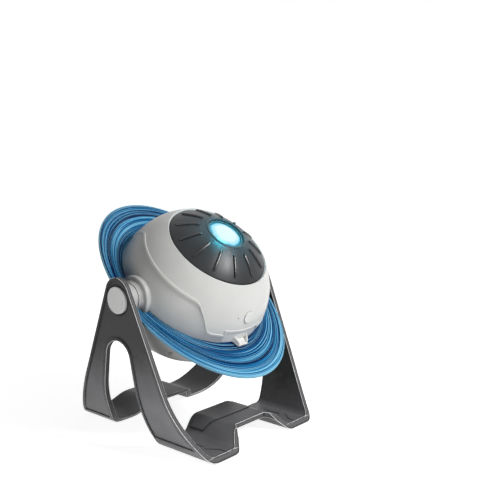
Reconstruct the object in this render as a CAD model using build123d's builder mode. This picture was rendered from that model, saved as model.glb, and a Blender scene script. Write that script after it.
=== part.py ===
from build123d import *
from math import asin, cos, degrees, radians, sin, sqrt, tan
import os

os.makedirs("parts", exist_ok=True)

# Driving dimensions, in millimetres and degrees.
# The origin is on the table under the ball's centre. X runs along the tilt axis, -Y is the front.

# Ball
ball_radius = 70.0          # upper shell, the proudest of the three
cheek_step = 0.6            # how far the middle and lower shells stand back from the upper one
shell_wall = 2.2
pivot_height = 127.0        # ball centre above the table
head_tilt = 39.0            # lens axis leans this far to the front at rest
seam_low = 9.2              # seam above the ring plane, at the front and the back
seam_high = 31.4            # seam above the ring plane, over the side cheeks
seam_low_x = 36.5           # where the low seam starts to climb
seam_high_x = 46.5          # where it reaches the cheeks
seam_round = 4.0
seam_gap = 0.15
bead_width = 1.7            # raised bead along the lower edge of the upper shell
bead_proud = 0.5
cap_opening_radius = 46.9
cap_opening_bevel = 1.3

# Planet ring
ring_thickness = 2.6
ring_seat = 3.8             # how far the ring reaches in between the shells
ring_side_gap = 1.4         # between the ring and the arm, at the side
ring_long_radius = 108.2    # towards the front and the back
ring_neck_gap = 0.7

# Trunnions
core_radius = 13.0
core_fit = 0.1
core_inner_depth = 8.5      # how far below the ball's surface a trunnion starts
core_flange_radius = 15.8
core_flange_thickness = 3.4
flange_radius = 18.2
flange_rim_height = 2.2     # how far the flange stands above the ball
flange_rim_round = 1.6
neck_radius = 12.2
neck_start_height = 6.0
spigot_radius = 6.0
lug_inner_radius = 8.8
lug_outer_radius = 11.2
lug_length = 1.4
lug_half_angle = 12.0

# Stand
stand_wall = 4.5
stand_half_depth = 88.3
pad_proud = 0.6             # how far the rubber feet stand out below the frame
arm_gap = 14.6              # between the ball and the inner face of an arm, at the tilt axis
arm_lean_in = 3.5           # how much closer the arms are at their bend
arm_bend_z = 56.0
front_corner_in = 22.2      # from the arm's face to the corner of a front foot
front_corner_round = 12.0
back_corner_in = 31.0       # the back feet sweep further in
back_corner_round = 26.0
arch_rise = 12.0            # how far the bars rise between the feet
arch_top_x = 23.0
arch_foot_x = 34.0
arch_round = 10.0
arm_top_radius = 14.7
arm_top_above_pivot = 4.3
leg_splay = 23.5
leg_bend_z = 55.0
arm_slot_radius = 15.0
arm_slot_top_z = 76.5
arm_slot_offset = 3.5       # the opening sits a little behind the tilt axis
arm_slot_lean = 10.0
arm_slot_bend_z = 29.0
arm_slot_front_y = -25.0
arm_slot_back_y = 46.0
front_notch_y = -68.4
back_notch_y = 81.0
notch_mouth_x = 33.0
notch_inner_x = 19.0
notch_inner_round = 17.0
notch_mouth_round = 9.0
plan_corner_x = 67.0
plan_corner_round = 11.0
rim_width = 3.0             # raised rim round the outer faces of the arms
panel_depth = 0.7
panel_low_z = 11.0
edge_round = 0.4
crease_width = 0.8          # fine grooves on top of the front feet
crease_depth = 0.35
front_pad_height = 0.5      # low raised panel across the front bar
front_pad_half_width = 33.0
front_pad_back_y = -27.0
front_pad_side_y = -43.0
front_pad_front_y = -50.0
front_pad_front_half_width = 20.0

# Pivot hardware in the arms
boss_radius = 12.6
boss_height = 6.2           # from the arm's outer face to the face of its boss
boss_gap = 0.2              # between a trunnion's neck and the arm's boss
pocket_depth = 3.1
pocket_radius = 12.1
pivot_cap_radius = 11.5
pivot_cap_proud = 0.9
pivot_cap_wall = 1.2
bush_wall = 1.45
running_fit = 0.05
washer_radius = 9.5
washer_thickness = 0.8
pivot_screw_head_radius = 4.0
pivot_screw_head_height = 1.5
pivot_screw_radius = 1.6
pivot_screw_length = 14.0
lug_groove_gap = 0.3
stop_margin = 1.5           # degrees of slack past the stops

# Chassis, shell screws and lens tower
plate_thickness = 2.6
plate_gap = 2.0             # between the plate and the shells
shell_boss_inset = 6.2      # from the shells' inner face to the axis of a screw
shell_boss_radius = 3.8
shell_joint_z = 19.0        # where the middle shell's bosses meet the upper shell's
shell_screw_radius = 1.3
shell_screw_head_radius = 2.4
shell_screw_head_height = 2.0
shell_screw_seat_z = -12.0
shell_screw_tip_z = 24.0
screw_clearance = 0.3
tower_x = 31.0
tower_y = 22.0
tower_column_radius = 3.2
deck_drop = 6.4             # from the rim of the cap's opening down to the deck
deck_thickness = 2.0
deck_gap = 3.0              # between the deck and the shells
tower_screw_radius = 1.0
tower_screw_length = 9.0
tower_screw_head_height = 1.2
board_screw_length = 6.0

# Focus cap and lens carrier
cap_gap = 0.5               # between the cap and the edge of its opening
cap_rim_sink = 0.15         # how far the cap's rim sits below that edge
cap_nose_radius = 19.5
cap_nose_depth = 4.6        # how far the cap's nose stays below the ball's top
cap_bulge = 1.2
cap_wall = 2.0
cap_lip_height = 0.8
cap_lip_radius = 18.7
cap_lens_radius = 17.3
cap_catch = 0.5             # how far the skirt's catch reaches under the shell
cap_skirt_gap = 0.3         # between the skirt and the deck
cap_catch_height = 2.4
sleeve_wall = 1.9
sleeve_gap = 3.7            # between the sleeve and the deck
sleeve_slot_reach = 9.4     # half the length of a slanted slot, measured straight across
rib_count = 13
rib_first_angle = 111.5
rib_inner_radius = 24.5
rib_outer_radius = 42.5
rib_width = 1.9
rib_height = 1.1
focus_half_turn = 25.0      # degrees either way
focus_half_travel = 2.0     # millimetres of lens travel either way
barrel_radius = 17.0
barrel_wall = 1.6
barrel_tail = 2.9           # how far the barrel reaches below the deck
barrel_front_sink = 1.4     # how far the barrel ends below the cap's lip
guide_tube_wall = 1.8
guide_fit = 0.08
guide_tail = 8.3            # how far the guide tube reaches below the deck
guide_top_gap = 1.0         # between the guide tube and the cap
pin_radius = 1.5
pin_drop = 6.0              # from the top of the guide tube down to the pins
pin_gap = 0.35
pin_tip_radius = 20.7       # how far the guide pins reach out from the lens axis
lens_gap = 0.05
lens_ledge = 1.2
front_lens_sink = 2.5       # from the barrel's front down to the lens seat
front_lens_edge = 1.5
front_lens_bulge = 2.6
rear_lens_inset = 2.8
rear_lens_edge = 2.4
rear_lens_bulge = -2.2      # this lens bulges to the rear

# Light source
light_tube_inner_radius = 15.5
light_tube_wall = 1.6
sink_gap = 3.7              # between the heat sink and the battery box
light_flange_radius = 21.5
light_flange_thickness = 2.0
condenser_height = 10.0     # above the light tube's lower end
condenser_edge = 3.0
condenser_bulge = 4.0
condenser_ledge = 1.6
led_board_thickness = 1.6
led_base_radius = 4.0
led_base_height = 1.4
led_dome_radius = 2.8
sink_base_thickness = 2.0
sink_fin_height = 4.6
sink_fin_width = 1.4
sink_fin_pitch = 4.6
sink_fin_count = 8
sink_screw_circle = 19.2
sink_screw_head_radius = 1.5
sink_screw_head_height = 1.0
driver_board_size = (38.0, 28.0)
driver_board_y = 38.0
driver_board_top_z = -3.4
driver_board_thickness = 1.6
driver_post_radius = 2.0
driver_pin_radius = 1.2
driver_pin_length = 2.4

# Disc tray
tray_half_width = 20.2
tray_gap = 0.4
tray_low_z = 3.0
tray_thickness = 3.4
tray_back_y = 40.0
tray_panel_wall = 2.2
tray_panel_low_z = 1.9
tray_panel_high_z = 13.5
tray_panel_gap = 0.35
tray_window_radius = 14.0
disc_radius = 17.4
disc_pocket_gap = 0.3
disc_thickness = 1.5
disc_pocket_floor_z = 4.7
film_radius = 15.0
film_thickness = 0.3
rail_width = 2.8
rail_lip = 2.4
rail_lip_thickness = 1.5
tab_root = 4.0              # how far the tab reaches into the ball
tab_base_half_width = 9.5
tab_tip_half_width = 5.5
tab_reach = 6.0             # how far the tab stands out of the ball
tab_low_z = 2.2
tab_floor_z = 3.8
tab_wall = 1.2
tab_base_high_z = 7.5
tab_tip_high_z = 4.6

# Power button and its switch
button_height_on_ball = 27.0
button_radius = 5.5
button_gap = 0.3
button_proud = 0.7
button_flange_radius = 7.2
button_flange_depth = 3.3
button_flange_thickness = 1.2
button_stem_radius = 2.5
button_travel = 1.0
plunger_radius = 1.6
plunger_top_depth = 11.5
plunger_length = 3.1
switch_top_depth = 13.0
switch_size = 6.2
switch_height = 3.5
switch_bore_gap = 0.3
switch_bore_depth = 2.8
switch_board_width = 30.0
switch_board_height = 13.0
switch_board_thickness = 1.6
switch_post_radius = 2.0
switch_post_x = 10.5
switch_post_y = 4.2
indicator_x = -12.3
indicator_radius = 1.5
indicator_top_depth = 4.7
indicator_length = 4.2
indicator_lead_radius = 0.3
indicator_lead_spacing = 1.3
pinhole_radius = 0.8

# Batteries
cell_radius = 7.1
cell_length = 49.2
cell_nub_radius = 2.6
cell_nub_length = 1.0
cell_count = 3
cell_pitch = 15.7
cell_rise = 5.7             # from the box's flange up to the cells
spring_length = 3.6         # fitted length of a battery spring
bay_gap = 0.3
bay_rib_depth = 4.0
bay_rib_gap = 0.6           # between a rib and a cell beside it
box_wall = 1.5
box_flange_radius = 43.8
box_flange_thickness = 1.8
box_flange_gap = 0.5        # between the box's flange and the shell
ledge_thickness = 2.5
door_opening_radius = 39.8
ledge_step = 0.2            # how far the box's ledge stands back from the door's opening
door_gap = 0.2
door_rib_wall = 1.4
door_screw_y = 34.0
door_boss_radius = 3.2
door_boss_length = 5.0
door_boss_gap = 0.2
door_screw_seat_drop = 6.7
door_screw_radius = 1.2
door_screw_head_radius = 2.3
door_screw_head_height = 1.5
door_screw_length = 8.0
contact_thickness = 0.4
contact_width = 9.0
contact_height = 9.0
spring_radius = 2.6
spring_wire_radius = 0.3
spring_turns = 3
box_screw_circle = 42.2
box_screw_radius = 0.9
box_screw_head_radius = 1.5
box_screw_head_height = 1.0

# Rubber feet
foot_pad_radius = 5.5
foot_pad_depth = 1.2        # how far a pad is let into the frame
foot_pad_front_x = 50.0
foot_pad_back_x = 43.0
foot_pad_front_y = -74.0
foot_pad_back_y = 72.0

# Values worked out from the ones above
cheek_radius = ball_radius - cheek_step
inner_radius = cheek_radius - shell_wall
mid_wall_radius = inner_radius + shell_wall / 2
half_ring = ring_thickness / 2
ring_inner_radius = ball_radius - ring_seat
reach = 2 * ball_radius     # longer than anything it cuts

arm_face_x = ball_radius + arm_gap + stand_wall
arm_bend_x = arm_face_x - arm_lean_in
front_corner_x = arm_face_x - front_corner_in
back_corner_x = arm_face_x - back_corner_in
boss_face_x = arm_face_x - boss_height
pocket_floor_x = arm_face_x - pocket_depth
pivot_cap_face_x = arm_face_x + pivot_cap_proud
ring_side_radius = ball_radius + arm_gap - ring_side_gap
core_inner_x = ball_radius - core_inner_depth
core_flange_x = core_inner_x + core_flange_thickness
flange_rim_x = ball_radius + flange_rim_height
neck_start_x = ball_radius + neck_start_height

plate_radius = inner_radius - plate_gap
shell_boss_circle = inner_radius - shell_boss_inset
opening_rim_z = sqrt(ball_radius**2 - (cap_opening_radius + cap_opening_bevel) ** 2)
deck_top_z = opening_rim_z - deck_drop
deck_radius = sqrt(inner_radius**2 - deck_top_z**2) - deck_gap
cap_rim_radius = cap_opening_radius - cap_gap
cap_rim_z = opening_rim_z - cap_rim_sink
cap_nose_z = ball_radius - cap_nose_depth
cap_lip_z = cap_nose_z + cap_lip_height
cap_under_z = cap_nose_z - 2 * cap_wall
guide_low_z = deck_top_z - guide_tail
guide_top_z = cap_under_z - guide_top_gap
pin_z = guide_top_z - pin_drop
barrel_low_z = deck_top_z - barrel_tail
barrel_front_z = cap_lip_z - barrel_front_sink
front_lens_seat_z = barrel_front_z - front_lens_sink
rear_lens_low_z = barrel_low_z + rear_lens_inset

box_flange_low_z = -sqrt(inner_radius**2 - (box_flange_radius + box_flange_gap) ** 2)
box_flange_top_z = box_flange_low_z + box_flange_thickness
cell_axis_z = box_flange_low_z + cell_rise
bay_top_z = cell_axis_z + cell_radius + bay_gap
bay_length = cell_length + cell_nub_length + spring_length + 2 * contact_thickness
bay_rib = cell_pitch - 2 * cell_radius - 2 * bay_rib_gap
door_boss_top_z = box_flange_low_z - door_boss_length
door_screw_seat_z = box_flange_low_z - door_screw_seat_drop
light_tube_low_z = (
    bay_top_z + box_wall + sink_gap + sink_fin_height + sink_base_thickness + led_board_thickness
)
condenser_low_z = light_tube_low_z + condenser_height
tab_base_y = tab_root - ball_radius
tab_tip_y = -ball_radius - tab_reach

# The ball's own planes. The ring lies in the plane `ball`, the lens looks along its normal.
pivot = Vector(0, 0, pivot_height)
lens_direction = Vector(0, -sin(radians(head_tilt)), cos(radians(head_tilt)))
ball = Plane(origin=pivot, x_dir=(1, 0, 0), z_dir=lens_direction)
ball_section = Plane(origin=pivot, x_dir=(1, 0, 0), z_dir=-ball.y_dir)
lens_axis = Axis(pivot, lens_direction)
tilt_axis = Axis(pivot, (1, 0, 0))

# The button's plane touches the ball, with its normal along the way the button moves.
button_angle = asin(button_height_on_ball / ball_radius)
button_direction = ball.y_dir * -cos(button_angle) + lens_direction * sin(button_angle)
button_plane = Plane(
    origin=pivot + button_direction * ball_radius, x_dir=(1, 0, 0), z_dir=button_direction
)


# Shapes that repeat. Each is made inside the part that is being built.


def turn(*outline, mode=Mode.ADD):
    """Turns a closed outline of (radius, height) points round the lens axis."""
    with BuildSketch(ball_section) as section:
        with BuildLine():
            Polyline(*outline, close=True)
        make_face()
    revolve(section.sketch, axis=lens_axis, mode=mode)


def turn_on_tilt_axis(*outline, mode=Mode.ADD):
    """Turns a closed outline of (x, radius) points round the tilt axis."""
    with BuildSketch(ball_section) as section:
        with BuildLine():
            Polyline(*outline, close=True)
        make_face()
    revolve(section.sketch, axis=tilt_axis, mode=mode)


def ball_skin(outer, inner, low, high, mode=Mode.ADD):
    """Adds the part of a hollow ball between two heights over the ring plane."""
    with BuildSketch(ball_section) as section:
        Circle(outer)
        if inner > 0:
            Circle(inner, mode=Mode.SUBTRACT)
        with Locations((outer / 2, (low + high) / 2)):
            Rectangle(outer, high - low, mode=Mode.INTERSECT)
    revolve(section.sketch, axis=lens_axis, mode=mode)


def pegs(radius, spots, low, high, mode=Mode.ADD):
    """Adds round pegs along the lens axis at (x, y) spots of the ball, between two heights."""
    with BuildSketch(ball.offset(low)) as outline:
        with Locations(*spots):
            Circle(radius)
    extrude(outline.sketch, amount=high - low, mode=mode)


def ball_block(x_low, x_high, y_low, y_high, low, high, mode=Mode.ADD):
    """Adds a block in the ball's own directions."""
    with BuildSketch(ball.offset(low)) as outline:
        with Locations(((x_low + x_high) / 2, (y_low + y_high) / 2)):
            Rectangle(x_high - x_low, y_high - y_low)
    extrude(outline.sketch, amount=high - low, mode=mode)


def button_pegs(radius, spots, low, high, mode=Mode.ADD):
    """Adds round pegs along the button's axis, between two depths below the ball (negative is in)."""
    with BuildSketch(button_plane.offset(low)) as outline:
        with Locations(*spots):
            Circle(radius)
    extrude(outline.sketch, amount=high - low, mode=mode)


def side_disc(radius, x_low, x_high, mode=Mode.ADD):
    """Adds a disc on the tilt axis between two places along X."""
    with BuildSketch(Plane.YZ.offset(x_low)) as outline:
        with Locations((0, pivot_height)):
            Circle(radius)
    extrude(outline.sketch, amount=x_high - x_low, mode=mode)


def side_arc(inner, outer, half_angle, middle_angle, x_low, x_high, mode=Mode.ADD):
    """Adds a stretch of a flat ring on the tilt axis, half_angle either side of middle_angle."""
    with BuildSketch(Plane.YZ.offset(x_low)) as outline:
        with Locations((0, pivot_height)):
            Circle(outer)
            Circle(inner, mode=Mode.SUBTRACT)
        with BuildLine():
            far = 3 * outer
            steps = [middle_angle + half_angle * share for share in (-1, -0.5, 0, 0.5, 1)]
            tips = [(far * cos(radians(a)), pivot_height + far * sin(radians(a))) for a in steps]
            Polyline((0, pivot_height), *tips, close=True)
        make_face(mode=Mode.INTERSECT)
    extrude(outline.sketch, amount=x_high - x_low, mode=mode)


def above_seam(shift, mode=Mode.INTERSECT):
    """Keeps what lies above the seam line, moved up by shift."""
    with BuildSketch(ball_section) as outline:
        with BuildLine():
            FilletPolyline(
                (-reach, seam_high + shift),
                (-seam_high_x, seam_high + shift),
                (-seam_low_x, seam_low + shift),
                (seam_low_x, seam_low + shift),
                (seam_high_x, seam_high + shift),
                (reach, seam_high + shift),
                radius=seam_round,
            )
            Polyline(
                (-reach, seam_high + shift),
                (-reach, reach),
                (reach, reach),
                (reach, seam_high + shift),
            )
        make_face()
    extrude(outline.sketch, amount=reach, both=True, mode=mode)


def lens(rim, dome_rim, low, edge, bulge):
    """A round lens: a disc of radius rim, flat on one face, with a dome on the other.

    A positive bulge puts the dome on top of the disc, a negative one puts it below."""
    dome_z, flat_z = (low + edge, low) if bulge > 0 else (low, low + edge)
    curve = (dome_rim**2 + bulge**2) / (2 * abs(bulge))
    half_turn = asin(dome_rim / curve) / 2
    middle = (curve * sin(half_turn), dome_z + bulge * (1 - curve * (1 - cos(half_turn)) / abs(bulge)))
    with BuildPart() as glass:
        with BuildSketch(ball_section):
            with BuildLine():
                ThreePointArc((0, dome_z + bulge), middle, (dome_rim, dome_z))
                if rim > dome_rim:
                    Line((dome_rim, dome_z), (rim, dome_z))
                Polyline((rim, dome_z), (rim, flat_z), (0, flat_z), (0, dome_z + bulge))
            make_face()
        revolve(axis=lens_axis)
    return glass.part


def write(part, name):
    """Names a finished piece and writes its file."""
    part.label = name
    export_step(part, f"parts/{name}.step")


# ---------------------------------------------------------------- stand

arm_lean = (arm_face_x - arm_bend_x) / (pivot_height - arm_bend_z)
arm_top_z = pivot_height + arm_top_above_pivot + arm_top_radius + stand_wall
arm_top_x = arm_face_x + (arm_top_z - pivot_height) * arm_lean
splay = radians(leg_splay)
slot_lean = radians(arm_slot_lean)
foot_spots = [
    (side * x, y)
    for side in (-1, 1)
    for x, y in ((foot_pad_front_x, foot_pad_front_y), (foot_pad_back_x, foot_pad_back_y))
]


def band_outline(inset, corner_x, corner_round):
    """The outer line of the band that makes both arms and the base, seen from the front."""
    with BuildSketch(Plane.XZ) as outline:
        with BuildLine():
            base = FilletPolyline(
                (0, pad_proud + arch_rise),
                (arch_top_x, pad_proud + arch_rise),
                (arch_foot_x, pad_proud),
                (corner_x, pad_proud),
                radius=arch_round,
            )
            arm = Line((arm_top_x, arm_top_z), (arm_bend_x, arm_bend_z))
            TangentArc(arm @ 1, base @ 1, tangent=arm % 1)
            mirror(about=Plane.YZ)
            Line((arm_top_x, arm_top_z), (-arm_top_x, arm_top_z))
        make_face()
        foot_corners = [
            v for v in vertices() if abs(abs(v.X) - corner_x) < 0.01 and v.Y < arm_bend_z
        ]
        fillet(foot_corners, radius=corner_round)
        if inset > 0:
            offset(amount=-inset)
    return outline.sketch


def band(inset, mode=Mode.ADD):
    """The band filled in, less an inset. Its front and back halves sweep into the feet differently."""
    front = band_outline(inset, front_corner_x, front_corner_round)
    back = band_outline(inset, back_corner_x, back_corner_round)
    extrude(front, amount=stand_half_depth + 1, mode=mode)
    extrude(back, amount=-stand_half_depth - 1, mode=mode)


def arm_outline(inset):
    """The A shape of an arm with its feet, seen from the side."""
    with BuildSketch(Plane.YZ) as outline:
        with BuildLine():
            top_z = pivot_height + arm_top_above_pivot
            shoulder = (arm_top_radius * cos(splay), top_z + arm_top_radius * sin(splay))
            leg_bend_y = shoulder[0] + (shoulder[1] - leg_bend_z) * tan(splay)
            ThreePointArc((-shoulder[0], shoulder[1]), (0, top_z + arm_top_radius), shoulder)
            leg = Line(shoulder, (leg_bend_y, leg_bend_z))
            flare = TangentArc(leg @ 1, (stand_half_depth, 0), tangent=leg % 1)
            mirror(leg, about=Plane.YZ)
            mirror(flare, about=Plane.YZ)
            Line((stand_half_depth, 0), (-stand_half_depth, 0))
        make_face()
        if inset > 0:
            offset(amount=-inset)
    return outline.sketch


def base_outline(inset):
    """The base from above, with rounded foot corners and a notch at the front and the back."""
    with BuildSketch(Plane.XY) as outline:
        far_x = arm_face_x + 30
        with BuildLine():
            Polyline(
                (-far_x, 0),
                (-plan_corner_x, -stand_half_depth),
                (-notch_mouth_x, -stand_half_depth),
                (-notch_inner_x, front_notch_y),
                (notch_inner_x, front_notch_y),
                (notch_mouth_x, -stand_half_depth),
                (plan_corner_x, -stand_half_depth),
                (far_x, 0),
                (plan_corner_x, stand_half_depth),
                (notch_mouth_x, stand_half_depth),
                (notch_inner_x, back_notch_y),
                (-notch_inner_x, back_notch_y),
                (-notch_mouth_x, stand_half_depth),
                (-plan_corner_x, stand_half_depth),
                close=True,
            )
        make_face()
        corners = vertices()
        fillet([v for v in corners if abs(abs(v.X) - plan_corner_x) < 0.01], plan_corner_round)
        fillet([v for v in corners if abs(abs(v.X) - notch_mouth_x) < 0.01], notch_mouth_round)
        fillet([v for v in corners if abs(abs(v.X) - notch_inner_x) < 0.01], notch_inner_round)
        if inset > 0:
            offset(amount=-inset)
    return outline.sketch


def arm_slot(outset):
    """The opening through an arm, which runs on through the bend and the base."""
    with BuildSketch(Plane.YZ) as outline:
        with BuildLine():
            side_y = arm_slot_radius * cos(slot_lean)
            side_z = arm_slot_top_z + arm_slot_radius * sin(slot_lean)
            spread = side_y + (side_z - arm_slot_bend_z) * tan(slot_lean)
            ThreePointArc(
                (arm_slot_offset - side_y, side_z),
                (arm_slot_offset, arm_slot_top_z + arm_slot_radius),
                (arm_slot_offset + side_y, side_z),
            )
            back_edge = Line(
                (arm_slot_offset + side_y, side_z), (arm_slot_offset + spread, arm_slot_bend_z)
            )
            front_edge = Line(
                (arm_slot_offset - side_y, side_z), (arm_slot_offset - spread, arm_slot_bend_z)
            )
            TangentArc(back_edge @ 1, (arm_slot_back_y, 0), tangent=back_edge % 1)
            TangentArc(front_edge @ 1, (arm_slot_front_y, 0), tangent=front_edge % 1)
            Line((arm_slot_back_y, 0), (arm_slot_front_y, 0))
        make_face()
        if outset > 0:
            offset(amount=outset)
    return outline.sketch


def cut_panel(outer_inset, inner_inset, rim):
    """Sinks one face of the band, between two insets from its outer line, inside a rim."""
    with BuildPart() as panel:
        band(outer_inset)
        band(inner_inset, Mode.SUBTRACT)
        extrude(arm_outline(rim), amount=arm_face_x + 10, both=True, mode=Mode.INTERSECT)
        extrude(base_outline(rim), amount=arm_top_z, mode=Mode.INTERSECT)
        extrude(arm_slot(rim), amount=arm_face_x + 10, both=True, mode=Mode.SUBTRACT)
        # The panel stops above the fold at the feet.
        with BuildSketch(Plane.XY) as floor:
            Rectangle(3 * arm_face_x, 3 * stand_half_depth)
        extrude(floor.sketch, amount=panel_low_z, mode=Mode.SUBTRACT)
    return panel.part


with BuildPart() as stand_frame:
    band(0)
    band(stand_wall, Mode.SUBTRACT)
    extrude(arm_outline(0), amount=arm_face_x + 10, both=True, mode=Mode.INTERSECT)
    extrude(base_outline(0), amount=arm_top_z + 1, mode=Mode.INTERSECT)
    extrude(arm_slot(0), amount=arm_face_x + 10, both=True, mode=Mode.SUBTRACT)
    fillet(edges(), radius=edge_round)
    add(cut_panel(0, panel_depth, rim_width), mode=Mode.SUBTRACT)

    # Low raised panel across the front bar, and fine grooves on the feet beside it
    with BuildPart(mode=Mode.PRIVATE) as front_pad:
        band(stand_wall)
        band(stand_wall + front_pad_height, Mode.SUBTRACT)
        with BuildSketch(Plane.XY) as pad_outline:
            with BuildLine():
                Polyline(
                    (-front_pad_half_width, front_pad_back_y),
                    (-front_pad_half_width, front_pad_side_y),
                    (-front_pad_front_half_width, front_pad_front_y),
                    (front_pad_front_half_width, front_pad_front_y),
                    (front_pad_half_width, front_pad_side_y),
                    (front_pad_half_width, front_pad_back_y),
                    close=True,
                )
            make_face()
        extrude(pad_outline.sketch, amount=2 * arch_rise + stand_wall, mode=Mode.INTERSECT)
    add(front_pad.part)
    foot_top_z = pad_proud + stand_wall
    with BuildSketch(Plane.XY.offset(foot_top_z - crease_depth)) as creases:
        for side in (-1, 1):
            with BuildLine():
                Polyline((side * 51, -43), (side * 51.5, -61))
            trace(line_width=crease_width)
            with BuildLine():
                Polyline((side * 54, -65), (side * 46.5, -75), (side * 46, -84.5))
            trace(line_width=crease_width)
    extrude(creases.sketch, amount=stand_wall, mode=Mode.SUBTRACT)

    # Bosses, pockets and bores for the tilt hardware, and the grooves of the tilt stops.
    for side in (-1, 1):
        side_disc(boss_radius, side * boss_face_x, side * pocket_floor_x)
        side_disc(pocket_radius, side * pocket_floor_x, side * (arm_face_x + 5), Mode.SUBTRACT)
        side_disc(
            spigot_radius + running_fit + bush_wall,
            side * (boss_face_x - 1),
            side * (pocket_floor_x + 1),
            Mode.SUBTRACT,
        )
        side_arc(
            lug_inner_radius - lug_groove_gap,
            lug_outer_radius + lug_groove_gap,
            90 + lug_half_angle + stop_margin,
            -90,
            side * boss_face_x,
            side * (boss_face_x + lug_length + lug_groove_gap),
            Mode.SUBTRACT,
        )

    # Seats for the rubber feet.
    with BuildSketch(Plane.XY) as seats:
        with Locations(*foot_spots):
            Circle(foot_pad_radius)
    extrude(seats.sketch, amount=pad_proud + foot_pad_depth, mode=Mode.SUBTRACT)
write(stand_frame.part, "stand_frame")

with BuildPart() as rubber_feet:
    with BuildSketch(Plane.XY):
        with Locations(*foot_spots):
            Circle(foot_pad_radius)
    extrude(amount=pad_proud + foot_pad_depth)
write(rubber_feet.part, "rubber_feet")

with BuildPart() as right_pivot_cap:
    cap_skirt_x = pocket_floor_x + washer_thickness + 2 * boss_gap
    side_disc(pivot_cap_radius, cap_skirt_x, pivot_cap_face_x)
    side_disc(
        pivot_cap_radius - pivot_cap_wall,
        cap_skirt_x,
        pivot_cap_face_x - pivot_cap_wall,
        Mode.SUBTRACT,
    )
    fillet(faces().sort_by(Axis.X)[-1].edges(), radius=pivot_cap_wall / 2)
write(right_pivot_cap.part, "right_pivot_cap")

with BuildPart() as left_pivot_cap:
    add(mirror(right_pivot_cap.part, about=Plane.YZ, mode=Mode.PRIVATE))
write(left_pivot_cap.part, "left_pivot_cap")

with BuildPart() as pivot_bushes:
    for side in (-1, 1):
        bush_inner = spigot_radius + running_fit
        side_disc(bush_inner + bush_wall, side * boss_face_x, side * pocket_floor_x)
        side_disc(bush_inner, side * boss_face_x, side * pocket_floor_x, Mode.SUBTRACT)
write(pivot_bushes.part, "pivot_bushes")

# ---------------------------------------------------------------- trunnions and their screws

neck_end_x = boss_face_x - boss_gap
spigot_end_x = pocket_floor_x + 2 * running_fit

with BuildPart() as right_trunnion:
    turn_on_tilt_axis(
        (core_inner_x, 0),
        (core_inner_x, flange_radius),
        (flange_rim_x, flange_radius),
        (flange_rim_x, flange_radius - 2 * flange_rim_round),
        (neck_start_x, neck_radius),
        (neck_start_x, 0),
    )
    ball_skin(cheek_radius + running_fit, 0, -ball_radius, ball_radius, Mode.SUBTRACT)
    side_disc(core_radius, core_inner_x, neck_start_x)
    side_disc(core_flange_radius, core_inner_x, core_flange_x)
    side_disc(neck_radius, neck_start_x, neck_end_x)
    side_disc(spigot_radius, neck_end_x, spigot_end_x)
    rims = edges().filter_by(GeomType.CIRCLE).filter_by(lambda e: e.radius > flange_radius - 0.01)
    fillet(rims.filter_by(lambda e: abs(e.center().X - flange_rim_x) < 0.01), flange_rim_round)
    # The lug of the tilt stop points straight away from the lens.
    side_arc(
        lug_inner_radius,
        lug_outer_radius,
        lug_half_angle,
        -90 + head_tilt,
        neck_end_x,
        neck_end_x + lug_length,
    )
    side_disc(
        pivot_screw_radius, spigot_end_x - pivot_screw_length - 1, spigot_end_x, Mode.SUBTRACT
    )
write(right_trunnion.part, "right_trunnion")

with BuildPart() as left_trunnion:
    add(mirror(right_trunnion.part, about=Plane.YZ, mode=Mode.PRIVATE))
write(left_trunnion.part, "left_trunnion")

with BuildPart() as pivot_washers:
    for side in (-1, 1):
        washer_x = side * (spigot_end_x + washer_thickness)
        side_disc(washer_radius, side * spigot_end_x, washer_x)
        side_disc(
            pivot_screw_radius + running_fit, side * spigot_end_x, washer_x, Mode.SUBTRACT
        )
write(pivot_washers.part, "pivot_washers")

with BuildPart() as pivot_screws:
    head_x = spigot_end_x + washer_thickness
    for side in (-1, 1):
        side_disc(
            pivot_screw_head_radius, side * head_x, side * (head_x + pivot_screw_head_height)
        )
        side_disc(pivot_screw_radius, side * head_x, side * (spigot_end_x - pivot_screw_length))
        # Cross recess
        with BuildSketch(Plane.YZ.offset(side * (head_x + pivot_screw_head_height))) as cross:
            with Locations((0, pivot_height)):
                Rectangle(pivot_screw_head_radius, 0.8)
                Rectangle(0.8, pivot_screw_head_radius)
        extrude(cross.sketch, amount=-side * 0.8, mode=Mode.SUBTRACT)
write(pivot_screws.part, "pivot_screws")

# ---------------------------------------------------------------- shells of the ball

boss_offset = shell_boss_circle * cos(radians(45))
boss_spots = [(x, y) for x in (-boss_offset, boss_offset) for y in (-boss_offset, boss_offset)]
screw_hole_radius = shell_screw_radius + screw_clearance
tray_opening_half = tray_half_width + tray_panel_gap


def trim_to_ball(radius):
    """Cuts off everything that stands out of a ball of this radius."""
    ball_skin(radius, 0, -radius, radius, Mode.INTERSECT)


def trunnion_holes():
    """Cuts the round seats of both trunnions."""
    for side in (-1, 1):
        side_disc(
            core_radius + core_fit, side * core_inner_x, side * (ball_radius + 5), Mode.SUBTRACT
        )


box_screw_offset = box_screw_circle * cos(radians(45))
box_screw_spots = [
    (x, y) for x in (-box_screw_offset, box_screw_offset) for y in (-box_screw_offset, box_screw_offset)
]
ledge_low_z = box_flange_low_z - ledge_thickness

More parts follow.
